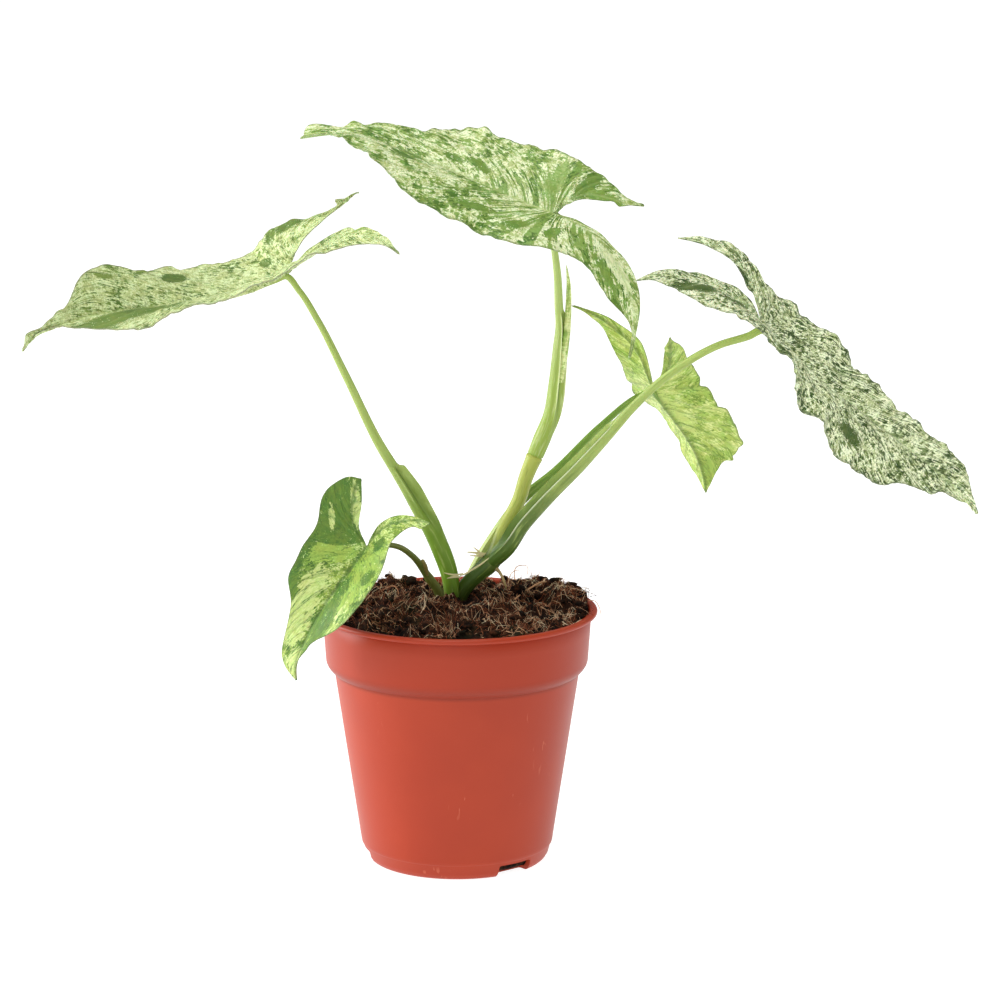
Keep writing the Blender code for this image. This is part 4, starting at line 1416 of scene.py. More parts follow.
@dataclass
class Spear:
    """The rolled new leaf: a blade wound round itself, with its free edge showing."""

    name: str = "new_leaf_spear"
    points: Points = ()
    slot: str = "leaf_pale"
    finish: Optional[Variegation] = None
    columns: int = 40

    TWIST_LENGTH = 14.0
    MAP_WIDTH = 9.0

    def build(self) -> Object:
        """Return the spear as one closed loft with a step where its edge lies on itself."""
        path = smooth_path(self.points, 0.5)
        along, beside, square = turned_frames(path[:, :3], np.array((1, 0, 0)))
        share = np.linspace(0, 1, self.columns)
        run = chord_lengths(path[:, :3])
        angle = 2 * math.pi * share[None, :] + (run / self.TWIST_LENGTH)[:, None]
        radius = path[:, 3:4] * (0.86 + 0.3 * share[None, :] ** 3)
        points = path[:, None, :3] + round_ring(beside, square, angle) * radius[..., None]
        points = np.concatenate((points, points[:, :1]), axis=1)
        foot = np.broadcast_to(path[0, :3] - along[0] * 0.4, points[0].shape)
        head = np.broadcast_to(path[-1, :3] + along[-1] * 1.2, points[0].shape)
        points = np.concatenate((foot[None], points, head[None]))
        run = np.concatenate((run[:1], run, run[-1:]))
        share = np.concatenate((share, [1]))
        flat = np.broadcast_arrays(run[:, None], share[None] * self.MAP_WIDTH)
        flat = np.stack(flat, axis=-1) / UV_UNIT
        draft = Draft()
        draft.grid(points, True, {"veins": flat[..., ::-1], "flat": flat},
                   {"rim": np.broadcast_to(share**6 * 0.98, points.shape[:2])})
        obj = draft.build(self.name)
        smooth(obj, 50)
        return dress(obj, self.slot, ("new_leaf",), self.finish.material())


@dataclass
class NurseryPot:
    """The tapered pot: a wider collar, a rolled lip, three drain slots and a foot line."""

    name: str = "nursery_pot"
    height: float = 109.7
    lip_radius: float = 60.0
    collar_top: float = 57.4
    collar_bottom: float = 56.1
    body_top: float = 52.5
    body_bottom: float = 40.0
    foot: float = 37.8
    foot_line: float = 7.0
    step_height: float = 83.2
    wall: float = 1.2
    floor: float = 1.5
    lip_bead: float = 1.1
    shoulder: float = 4.9
    segments: int = 160
    slots: int = 3
    slot_angle: float = -51.0
    slot_size: Triple = (13, 17, 11)
    slot_middle: float = 38.5
    finish: PotPlastic = field(default_factory=PotPlastic)

    SHOULDER_LEAN = 54.0
    SLOT_ROUNDING = 0.9

    def body_rings(self) -> list[tuple[float, float]]:
        """Return the outside's (radius, height) from the foot up to the step."""
        body = self.body_bottom
        rings = [(self.foot - 1.1, 0), (self.foot - 0.3, 0.25), (self.foot + 0.7, 1.1),
                 (self.foot + 1.7, 2.8), (body + 0.45, self.foot_line - 0.4),
                 (body + 0.75, self.foot_line), (body + 1.05, self.foot_line + 0.3)]
        slope = (self.body_top - body) / self.step_height
        heights = np.linspace(self.foot_line + 1.5, self.step_height - 0.5, 14)
        return rings + [(body + slope * z, z) for z in heights]

    def collar_rings(self) -> list[tuple[float, float]]:
        """Return the outside's (radius, height) from the step over the shoulder and the lip."""
        step, edge = self.step_height, self.body_top + 0.8
        rings = [(self.body_top, step), (edge - 0.2, step - 0.1)]
        lean = math.radians(self.SHOULDER_LEAN)
        for turn in np.linspace(lean, math.pi / 2, 9):
            share = (math.sin(turn) - math.sin(lean)) / (1 - math.sin(lean))
            rise = self.shoulder * (1 - math.cos(turn) / math.cos(lean))
            rings.append((edge + (self.collar_bottom - edge) * share, step + 0.1 + rise))
        collar = step + 0.1 + self.shoulder
        top = self.height - 2 * self.lip_bead - 0.15
        widening = self.collar_top - self.collar_bottom
        rings += [(self.collar_bottom + widening * share, collar + (top - collar) * share)
                  for share in (0.1, 0.35, 0.65, 0.93)]
        rings += [(self.collar_top - 0.4, top - 0.8), (self.collar_top - 0.4, top)]
        centre = self.lip_radius - self.lip_bead
        return rings + [(centre + self.lip_bead * math.cos(turn),
                         self.height - self.lip_bead * (1 - math.sin(turn)))
                        for turn in np.linspace(-1.2, math.pi / 2, 9)]

    def inner_rings(self) -> list[tuple[float, float]]:
        """Return the inside's (radius, height) from the lip down to the floor."""
        lip, collar = self.collar_top - self.wall, self.collar_bottom - self.wall
        top, bottom = self.body_top - self.wall, self.body_bottom - self.wall
        return [(lip + 1.4, self.height), (lip + 0.6, self.height - 0.25),
                (lip + 0.15, self.height - 0.9), (lip, self.height - 3.6),
                (collar, self.step_height + 8), (collar - 1.2, self.step_height + 4),
                (top + 1.5, self.step_height + 1), (top, self.step_height - 0.2),
                (bottom, self.floor + 7.5), (bottom - 1.8, self.floor + 1.3),
                (self.foot - 2.2, self.floor)]

    def build(self) -> Object:
        """Return the pot, pulled up from its underside ring by ring and slotted at the foot."""
        bpy.ops.object.select_all(action="DESELECT")
        start = self.foot - 1.5
        bpy.ops.mesh.primitive_circle_add(vertices=self.segments, radius=start * MM,
                                          fill_type="NGON")
        obj = bpy.context.object
        obj.name = self.name
        raise_rings(start, 0, self.body_rings() + self.collar_rings() + self.inner_rings())
        self.cut_slots(obj)
        smooth(obj, 40)
        return dress(obj, "pot_plastic", ("pot",), self.finish.material())

    def cut_slots(self, pot: Object) -> None:
        """Cut the drain slots through the foot."""
        depth, width, height = self.slot_size
        for i in range(self.slots):
            angle = math.radians(self.slot_angle + 360 * i / self.slots)
            middle = self.slot_middle * MM
            place = (middle * math.cos(angle), middle * math.sin(angle), 0)
            bpy.ops.mesh.primitive_cube_add(size=MM, location=place, rotation=(0, 0, angle),
                                            scale=(depth, width, height))
            cutter = bpy.context.object
            select_only(cutter)
            bpy.ops.object.transform_apply(location=True, rotation=True, scale=True)
            round_edges = cutter.modifiers.new("Bevel", "BEVEL")
            round_edges.width = self.SLOT_ROUNDING * MM
            round_edges.segments = 3
            apply_modifiers(cutter)
            cut = pot.modifiers.new("Cut", "BOOLEAN")
            cut.operation = "DIFFERENCE"
            cut.object = cutter
            apply_modifiers(pot)
            bpy.data.objects.remove(cutter, do_unlink=True)


def raise_rings(radius: float, height: float, rings: list[tuple[float, float]]) -> None:
    """Extrude the active circle's edge through rings of (radius, height) and close the last one.

    Args:
        radius: the circle's own radius.
        height: the circle's own height.
        rings: where the edge goes next, in order.
    """
    bpy.ops.object.mode_set(mode="EDIT")
    bpy.ops.mesh.select_all(action="SELECT")
    bpy.ops.mesh.select_mode(type="EDGE")
    bpy.ops.mesh.region_to_loop()
    for next_radius, next_height in rings:
        bpy.ops.mesh.extrude_edges_move(
            TRANSFORM_OT_translate={"value": (0, 0, (next_height - height) * MM)})
        share = next_radius / radius
        bpy.ops.transform.resize(value=(share, share, 1),
                                 center_override=(0, 0, next_height * MM))
        radius, height = next_radius, next_height
    bpy.ops.mesh.edge_face_add()
    bpy.ops.mesh.select_all(action="SELECT")
    bpy.ops.mesh.normals_make_consistent(inside=False)
    bpy.ops.object.mode_set(mode="OBJECT")


@dataclass
class Peat:
    """The growing medium: a crumbly mound that fills the pot, strewn with coir and roots."""

    pot: NurseryPot
    edge_height: float = 107.4
    backward_fall: float = 0.026
    mounds: Points = ((1, 4, 6.2, 24), (40, 24, 3.4, 12), (28, 46, 3.6, 10), (52, 12, 4.7, 9),
                      (54, 2, 3.5, 7.5), (-36, 36, 3.4, 9), (-24, 44, 2.4, 7), (-26, -10, 2, 10),
                      (6, 50, -1.6, 12))
    roughness: float = 0.55
    waves: tuple[tuple[float, float, float], ...] = ((0.31, 1.7, 0.13), (0.37, 1.3, 0.17))
    clods: tuple[Triple, ...] = ((-21.5, 41, 4.9), (-27, 37, 3.6), (-16, 38, 2.6), (-17, 14, 3.2),
                                 (30, 24, 4), (42, 12, 3.4), (20, -24, 3.2), (-32, -12, 3.6),
                                 (4, -36, 3.2), (38, -18, 3), (26, 6, 3), (-12, -28, 3.6))
    strays: tuple[Points, ...] = (((24.7, -0.8, 113.4, 0.34), (31.4, 14.3, 114.6, 0.4),
                                   (38.1, 25.8, 114.8, 0.36), (44.7, 29.6, 113.2, 0.22)),
                                  ((54.7, 2.1, 111.6, 0.16), (57.6, 0.3, 112.6, 0.17),
                                   (60.3, -7.1, 111.6, 0.15), (61.1, -14.7, 107.6, 0.1)),
                                  ((25.2, 34.2, 114, 0.2), (27.1, 41.9, 118.4, 0.2),
                                   (29.8, 41.9, 118.6, 0.16), (30.6, 36.1, 115.6, 0.12)),
                                  ((22.4, 33, 112.6, 0.2), (24.4, 37, 116.8, 0.16),
                                   (28, 38, 117.4, 0.1)),
                                  ((-32, 22, 112, 0.14), (-28, 20, 114.4, 0.15),
                                   (-25, 12, 112.4, 0.13), (-27, 4, 110, 0.08)))
    crumbs: int = 900
    tufts: int = 90
    overhang: tuple[float, float] = (0.6, 3.4)
    gap: float = 0.3
    ring_step: float = 0.85
    segments: int = 280
    stem_spot: Triple = (2, 3, 9)
    seed: int = 11

    def height(self, x: float, y: float) -> float:
        """Return the height of the smooth mound at a place."""
        height = self.edge_height - self.backward_fall * y
        for mx, my, rise, radius in self.mounds:
            height += rise * math.exp(-((x - mx) ** 2 + (y - my) ** 2) / (2 * radius**2))
        for (u, v), (wave, sway, slow) in zip(((x, y), (y, x)), self.waves):
            height += self.roughness * math.sin(wave * u + sway * math.sin(slow * v))
        return height

    def crust(self, x: float, y: float) -> float:
        """Return the height of the crumbly surface at a place."""
        lumps = 2.9 * fractal(x / 8, y / 8, 1, 3)
        ridges = 3 * abs(fractal(x / 3.6, y / 3.6, 5, 3)) - 0.8
        pits = 1.8 * (self.density(x, y) - 0.5)
        rim = min(1, (self.rim() - math.hypot(x, y)) / 3)
        return self.height(x, y) + (lumps + ridges + pits) * max(0.25, rim)

    def density(self, x: float, y: float) -> float:
        """Return how thickly fibres lie at a place, round one half."""
        return 0.5 + 1.8 * fractal(x / 8, y / 8, 9, 3) + 0.0035 * (x + y)

    def reach(self, x: float, y: float) -> float:
        """Return how far out fibres may lie: over the lip where the peat is heaped."""
        turn, extra = self.overhang
        return self.rim() - 0.8 + extra * float(bell(math.atan2(y, x), turn))

    def rim(self) -> float:
        """Return the radius of the peat's top edge."""
        return self.pot.collar_top - self.pot.wall - self.gap - 0.15

    def build_surface(self) -> Object:
        """Return the peat's body, with its top raised into crumbs and gaps."""
        pot = self.pot
        bpy.ops.object.select_all(action="DESELECT")
        start, bottom = pot.foot - 2.5, pot.floor + self.gap
        bpy.ops.mesh.primitive_circle_add(vertices=self.segments, radius=start * MM,
                                          location=(0, 0, bottom * MM), fill_type="NGON")
        obj = bpy.context.object
        obj.name = "peat"
        bpy.ops.object.transform_apply(location=True)
        side = [(pot.body_bottom - pot.wall - 2.1, pot.floor + 1.6),
                (pot.body_bottom - pot.wall - self.gap, pot.floor + 7.5),
                (pot.body_top - pot.wall - self.gap, pot.step_height - 0.2),
                (pot.body_top - pot.wall + 1.2, pot.step_height + 1),
                (pot.collar_bottom - pot.wall - 1.5, pot.step_height + 4),
                (pot.collar_bottom - pot.wall - self.gap, pot.step_height + 8),
                (self.rim(), self.edge_height - 1.5)]
        count = round(self.rim() / self.ring_step)
        top = [(self.rim() * (1 - i / count) + 0.02, self.edge_height) for i in range(count)]
        raise_rings(start, bottom, side + top)
        for vertex in obj.data.vertices:
            if vertex.co.z > (self.edge_height - 0.1) * MM:
                vertex.co.z = self.crust(vertex.co.x / MM, vertex.co.y / MM) * MM
        smooth(obj, 180)
        return dress(obj, "peat", ("growing_medium",), PeatFinish().material())

    def spot(self, draw: random.Random, limit: float) -> tuple[float, float]:
        """Return a random place on the peat, away from the stems.

        Args:
            draw: the random draws.
            limit: how far out it may lie.

        Returns:
            The place's x and y.
        """
        while True:
            x, y = draw.uniform(-limit, limit), draw.uniform(-limit, limit)
            away = math.hypot(x - self.stem_spot[0], y - self.stem_spot[1])
            if math.hypot(x, y) < limit and away > self.stem_spot[2]:
                return x, y

    @staticmethod
    def balls() -> dict[int, tuple[Array, Array]]:
        """Return the points and faces of a unit ball for each level of fineness."""
        balls = {}
        for level in (1, 2, 3):
            bpy.ops.object.select_all(action="DESELECT")
            bpy.ops.mesh.primitive_ico_sphere_add(subdivisions=level, radius=1)
            ball = bpy.context.object
            faces = np.array([list(face.vertices) for face in ball.data.polygons])
            balls[level] = (positions(ball.data) * MM, faces)
            bpy.data.objects.remove(ball, do_unlink=True)
        return balls

    @staticmethod
    def knocked(ball: Array, draw: random.Random) -> Array:
        """Return a unit ball knocked out of round, flattened and turned at random.

        Args:
            ball: its points.
            draw: the random draws.

        Returns:
            The new points.
        """
        seed = draw.uniform(0, 99)
        bumps = [1 + 0.45 * fractal(*(1.4 * point), 3) + 0.2 * fractal(*(3.3 * point + seed), 2)
                 for point in ball + seed * 0.1]
        squash = np.array((draw.uniform(0.8, 1.3), draw.uniform(0.8, 1.2), draw.uniform(0.5, 0.8)))
        shape = ball * np.array(bumps)[:, None] * squash
        turn = draw.uniform(0, 2 * math.pi)
        cosine, sine = math.cos(turn), math.sin(turn)
        spin = np.array(((cosine, -sine, 0), (sine, cosine, 0), (0, 0, 1)))
        return shape @ spin.T

    def build_crumbs(self) -> Object:
        """Return the clods and crumbs on the peat, copies of one ball knocked out of round."""
        draw = random.Random(self.seed)
        spots = [(x, y, radius, 3) for x, y, radius in self.clods]
        for _ in range(self.crumbs):
            size = 0.45 + 1.9 * draw.random() ** 3
            spots.append((*self.spot(draw, self.rim() - 0.6), size, 2 if size > 1.1 else 1))
        draft = Draft()
        balls = self.balls()
        for x, y, radius, level in spots:
            points, faces = balls[level]
            sunk = 0.1 if level < 3 else -0.05
            place = np.array((x, y, self.crust(x, y) + sunk * radius))
            draft.solid(self.knocked(points, draw) * radius + place, faces)
        obj = draft.build("peat_crumbs", 0.0001)
        smooth(obj, 180)
        return dress(obj, "peat", (), PeatFinish("peat_crumb").material())

    def strand_start(self, kind: Strand, draw: random.Random,
                     middles: list[tuple[float, float]]) -> tuple[float, ...]:
        """Return where and how a strand starts.

        Args:
            kind: which strand.
            draw: the random draws.
            middles: the tufts' middles.

        Returns:
            Its place, its length, its heading, and how upright it stands.
        """
        x, y = self.spot(draw, self.rim() - 0.5)
        while kind is Strand.COIR and draw.random() > self.density(x, y):
            x, y = self.spot(draw, self.rim() - 0.5)
        length = draw.uniform(*kind.value[2])
        heading = 7 * fractal(x / 18, y / 18, 3, 2) + draw.uniform(-0.9, 0.9)
        heading += math.pi * draw.randint(0, 1)
        if kind is not Strand.TUFT:
            return x, y, length, heading, 0
        heading = draw.uniform(0, 2 * math.pi)
        away = abs(draw.gauss(0, 1.6))
        x, y = draw.choice(middles)
        x, y = x + away * math.cos(heading), y + away * math.sin(heading)
        return x, y, length, heading, draw.uniform(0.25, 0.95) - 0.08 * away

    def strand(self, kind: Strand, draw: random.Random, middles: list[tuple[float, float]],
               lift: float) -> tuple[Array, float, float]:
        """Return one strand that curls over the peat or stands out of it.

        Args:
            kind: which strand.
            draw: the random draws.
            middles: the tufts' middles.
            lift: how far its middle or end may stand over the peat.

        Returns:
            Its points of (x, y, z, radius), and the place where it ends.
        """
        x, y, length, heading, upright = self.strand_start(kind, draw, middles)
        steps = max(4, round(length / 1.9))
        bend = draw.uniform(-1.4, 1.4) / steps
        arch = draw.random() ** 1.8 * lift
        tip_up = draw.random() ** 2.5 * lift + upright * length
        radius = draw.uniform(*kind.value[1])
        step = length / steps * (1 - max(0, upright) * 0.6)
        line = []
        for i in range(steps):
            share = i / (steps - 1)
            heading += bend + draw.uniform(-0.22, 0.22)
            if math.hypot(x, y) > self.reach(x, y):
                heading = math.atan2(-y, -x) + draw.uniform(-0.8, 0.8)
            x += math.cos(heading) * step
            y += math.sin(heading) * step
            foot = self.crust(x, y) if i == 0 or not upright else foot
            rise = arch * math.sin(math.pi * share)
            rise += tip_up * share ** (1.2 if upright else 3)
            line.append((x, y, foot - 0.1 + rise, radius * (1 - 0.6 * share)))
        return np.array(line), x, y

    def build_strands(self, name: str, kind: Strand, count: int, lift: float) -> Object:
        """Return loose strands that curl over the peat or stand out of it.

        Args:
            name: the piece's name.
            kind: which strands.
            count: how many.
            lift: how far a strand's middle or end may stand over the peat.

        Returns:
            The strands as one object.
        """
        draw = random.Random(self.seed + count)
        darkest, palest = kind.value[0]
        middles = [self.spot(draw, self.rim() - 2) for _ in range(self.tufts)]
        draft = Draft()
        for _ in range(count):
            line, x, y = self.strand(kind, draw, middles, lift)
            shade = draw.random() ** (1.5 if kind in (Strand.COIR, Strand.TUFT) else 1)
            shade = min(1, max(0, shade + 0.55 * (self.density(x, y) - 0.5)))
            draft.tube(line, 3, tone=darkest + (palest - darkest) * shade)
        if kind is Strand.STRAW:
            for stray in self.strays:
                draft.tube(smooth_path(stray, 1.4), 6, tone=draw.uniform(0.6, 0.75))
        obj = draft.build(name, 0.0001)
        smooth(obj, 180)
        return dress(obj, "peat", (), StrandFinish(name + "_finish").material())


@dataclass(frozen=True)
class Studio:
    """The pale floor, the soft lights and the camera."""

    floor_size: float = 30.0
    paper: Colour = (168, 168, 168)
    glow: float = 0.93
    daylight: float = 0.3
    distance: float = 1.6
    elevation: float = 11.7
    aim_height: float = 0.1564
    lens: float = 135.7
    shift: float = 0.043

    def build(self) -> None:
        """Make the floor, world, lights and camera."""
        bpy.ops.object.select_all(action="DESELECT")
        bpy.ops.mesh.primitive_plane_add(size=self.floor_size)
        floor = bpy.context.object
        floor.name = "floor"
        tree = Tree("floor_paper")
        floor.data.materials.append(tree.finish(
            self.paper, 0.9, Specular_IOR_Level=0.1, Emission_Color=(255, 255, 255),
            Emission_Strength=self.glow))
        scene = bpy.context.scene
        scene.world = bpy.data.worlds.new("studio")
        scene.world.use_nodes = True
        background = scene.world.node_tree.nodes["Background"]
        background.inputs["Color"].default_value = (1, 1, 1, 1)
        background.inputs["Strength"].default_value = self.daylight
        scene.view_settings.view_transform = "Standard"
        self.light("key", (-2, 0.3, 0.6), 1.7, 58)
        self.light("front", (-0.4, -2, 1.1), 2, 12)
        self.light("fill", (1.8, 0.2, 0.8), 1.2, 5)
        self.light("top", (-0.2, -0.2, 2.1), 1.5, 26)
        self.camera()

    def light(self, name: str, place: Triple, size: float, watts: float) -> None:
        """Add one square soft light that points at the plant.

        Args:
            name: its name.
            place: where, in metres.
            size: the length of its side, in metres.
            watts: its power.
        """
        data = bpy.data.lights.new(name, "AREA")
        data.size = size
        data.energy = watts
        lamp = bpy.data.objects.new(name, data)
        bpy.context.scene.collection.objects.link(lamp)
        lamp.location = place
        aim = Vector((0, 0, self.aim_height)) - lamp.location
        lamp.rotation_euler = aim.to_track_quat("-Z", "Y").to_euler()

    def camera(self) -> None:
        """Add the camera at the photograph's angle."""
        data = bpy.data.cameras.new("camera")
        data.lens = self.lens
        data.shift_x = self.shift
        camera = bpy.data.objects.new("camera", data)
        bpy.context.scene.collection.objects.link(camera)
        angle = math.radians(self.elevation)
        camera.location = (0, -self.distance * math.cos(angle),
                           self.aim_height + self.distance * math.sin(angle))
        camera.rotation_euler = (math.radians(90 - self.elevation), 0, 0)
        bpy.context.scene.camera = camera


CREAM_LEAF = Variegation(
    "cream_leaf", cream=(226, 234, 190), pale=(178, 198, 124), green=(120, 154, 62),
    dark=(76, 112, 34), cover=0.49, dark_cover=0.28, fleck=0.8, stretch=1.1, drift=0.9, blotch=15,
    rays=1, cream_share=0.52, seed=0.3,
    patches=(Patch(6, -17, 24, 9, 90, 0.4), Patch(-7, -21, 22, 8, 80, 0.75),
             Patch(-16, -20, 18, 9, 20, 0.55), Patch(38, -9, 12, 5, -20, 0.7),
             Patch(50, -8, 10, 5, -10, 0.75), Patch(66, 10, 9, 5, 0, 0.95),
             Patch(28, 22, 14, 5, 20, 0.7), Patch(-5, 14, 12, 5, 60, 0.65),
             Patch(10, 20, 12, 5, 40, 0.7), Patch(-31, 17, 18, 4, 150, 0.6),
             Patch(-43, 28, 10, 6, 150, 0.85), Patch(-22, 27, 32, 9, 150, -1),
             Patch(-34, 11, 28, 7, 150, -1), Patch(108, 0, 14, 7, 0, 0.3)))
CREAM_UNDER = replace(
    CREAM_LEAF, name="cream_under", cream=(200, 214, 164), pale=(174, 196, 128),
    green=(136, 164, 88), dark=(104, 134, 60), roughness=0.6)
YELLOW_LEAF = Variegation(
    "yellow_leaf", cream=(214, 226, 172), pale=(186, 202, 132), green=(128, 152, 72),
    dark=(82, 110, 44), cover=0.34, dark_cover=0.28, fleck=0.52, stretch=1.6, drift=0.45,
    loose=0.45, edge=(142, 148, 116), margin_shade_share=0.8, blotch=13, cream_share=0.55, seed=1.7,
    net_share=0.4,
    patches=(Patch(46, -15, 12, 6.5, 0, 0.95, 0.6), Patch(4.5, -12, 6, 7, 0, 0.85, 0.6),
             Patch(82, 10, 46, 14, 0, 0.72), Patch(69, 4, 16, 9, 20, 0.95),
             Patch(63, 12, 30, 8, 0, 0.8, 1.6), Patch(-16, -34, 19, 9, 30, 0.85),
             Patch(-6, -31, 14, 4, 60, 0.8, 1.5), Patch(58, -19, 9, 3, 10, 0.6, 1.8),
             Patch(76, -17, 8, 3, 0, 0.6, 1.8), Patch(-30, 10, 24, 5, 150, 0.5, 1.8),
             Patch(-38, 44, 8, 6, 0, 1)))
YELLOW_UNDER = replace(
    YELLOW_LEAF, name="yellow_under", cream=(206, 218, 162), pale=(184, 202, 132),
    green=(144, 168, 96), dark=(110, 138, 68), roughness=0.6)
GREY_LEAF = Variegation(
    "grey_leaf", cream=(242, 248, 210), pale=(188, 206, 146), green=(100, 122, 56),
    dark=(46, 72, 20), edge=(104, 116, 88), cover=0.48, dark_cover=0.4, fleck=0.5, stretch=1.5,
    drift=0.3, loose=0.55, blotch=9, cream_share=0.55, seed=2.9,
    patches=(Patch(-19, 21, 10, 7, -45, 1, 0.4), Patch(-33, -19, 26, 6, 50, 0.75, 1.6),
             Patch(58, -30, 14, 8, 0, 0.8, 1.8), Patch(-16, -12, 12, 5, 30, 0.7, 1.6)))
# painted shade: the grey-green leaf's underside is a darker copy of its upper side, for the shade
# it lies in
GREY_UNDER_SHADED = replace(
    GREY_LEAF, name="grey_under_shaded", cream=(150, 172, 114), pale=(120, 146, 82), green=(88, 118, 54),
    dark=(60, 90, 36), cover=0.7, roughness=0.6)
LIGHT_LEAF = Variegation(
    "light_leaf", cream=(208, 220, 140), pale=(190, 210, 112), green=(162, 190, 82),
    dark=(116, 148, 52), cover=0.55, dark_cover=0.12, fleck=0.8, stretch=1.5, drift=0.8, blotch=12,
    cream_share=0.4, rib=(92, 116, 44), rib_share=0.7, vein=(108, 138, 50), vein_share=0.75,
    net_share=0.95, seed=4.1,
    patches=(Patch(18, -3, 40, 6, -5, 0), Patch(58, -3, 16, 9, 0, 0.6),
             Patch(-25, 20, 26, 8, 150, 0.4)))
LIGHT_UNDER = replace(
    LIGHT_LEAF, name="light_under", cream=(206, 214, 164), pale=(184, 198, 132), roughness=0.65)
BRIGHT_LEAF = Variegation(
    "bright_leaf", cream=(202, 216, 140), pale=(160, 188, 82), green=(116, 150, 52),
    dark=(68, 104, 36), cover=0.5, dark_cover=0.22, fleck=0.65, stretch=1.1, drift=1, blotch=11,
    cream_share=0.5, rib=(72, 106, 40), rib_share=0.7, vein=(82, 118, 42), vein_share=0.6,
    net_share=0.75, seed=5.3,
    patches=(Patch(14, 9, 38, 18, 0, 0.18), Patch(12, -12, 28, 9, -55, 0.1),
             Patch(26, -8.5, 18, 10, 0, -1), Patch(40, -7, 28, 12, 0, -1),
             Patch(58, 0, 16, 8, 0, -1), Patch(-12, -14, 32, 24, 0, 0.75),
             Patch(14, -20, 26, 6, 4, 0.8), Patch(30, -16, 14, 4, 25, 0.75),
             Patch(1.3, -14, 34, 14, -55, 0.78, 0.15), Patch(20, 3.5, 11, 8, 0, 0.85),
             Patch(33, 7, 20, 12, 8, 0.85), Patch(40, 2, 18, 5, 4, 0.8),
             Patch(44, 10, 16, 5, -12, 0.8), Patch(10.5, 13, 8, 6, 0, 0.8),
             Patch(27, 14, 9, 2.4, 10, -1, 1.6), Patch(-3, 6.5, 8, 4.5, 0, 0.85),
             Patch(-2, -18, 11, 2.6, 31, -1), Patch(-12, -12.6, 20, 4.2, 32, -1)))
BRIGHT_UNDER = replace(
    BRIGHT_LEAF, name="bright_under", cream=(198, 212, 134), pale=(168, 190, 98),
    green=(136, 166, 74), dark=(100, 136, 58), roughness=0.6)

SMALL = {"rows": (121, 53), "columns": 26, "lobe_columns": 14, "veins": 6}

LEAF_TOP = Blade(
    "leaf_top_blade", sinus=(40.2, 5, 278.2), length=114, heading=(165, -13, 29),
    rise=(19, 24, -49), roll=(-20, 25, 8), ruffle=1.2, waves=6, phase=0.15,
    left=HalfShape(
        widths=(8, 20, 30, 35, 33, 29), lobe_widths=(19, 26, 27), lobe_tip=(55, 38), sinus=(15, 16),
        fold=8, curl=0.34, droop=0.56, lobe_curl=-0.45,
        bulges=((0.09, 0.05, -1.5), (0.67, 0.04, 2.2), (0.3, 0.02, 2.4), (0.35, 0.014, -1),
                (0.4, 0.016, 1), (0.5, 0.014, 0.8), (0.55, 0.02, 1.5), (0.65, 0.014, -0.9),
                (0.78, 0.03, 1.1), (0.19, 0.07, 0.5, -2.6)),
        inner_bulges=((0.12, 0.06, 1.6), (0.25, 0.06, 0.8), (0.38, 0.05, -0.8))),
    right=HalfShape(
        widths=(12, 16, 18, 32, 32, 34), lobe_widths=(31, 29, 31), lobe_tip=(31, 33), sinus=(-4, 0),
        fold=20, curl=0.06, droop=0.89, lobe_curl=-0.14,
        bulges=((0.05, 0.02, 1.8), (0.085, 0.03, 4.5, 1.8), (0.15, 0.022, -3.6, -1.6),
                (0.2, 0.02, -1.5, -1.5), (0.28, 0.05, 2.9, 0.5), (0.345, 0.014, -1.8),
                (0.4, 0.018, 0.4), (0.45, 0.014, 2.4, 0.5), (0.48, 0.016, 2.2, 1), (0.6, 0.02, 1.7),
                (0.65, 0.02, 1.3), (0.7, 0.012, -0.8), (0.8, 0.02, 1.5)),
        inner_bulges=((0.12, 0.05, -1.8), (0.25, 0.05, 1.2), (0.62, 0.05, -1.8),
                      (0.75, 0.05, 2.2))),
    slot="leaf_cream", finish=CREAM_LEAF, under=CREAM_UNDER, crinkle=0.45, frill=0.5,
    hooks=((0.8, 0.16, 0, 2.9),))
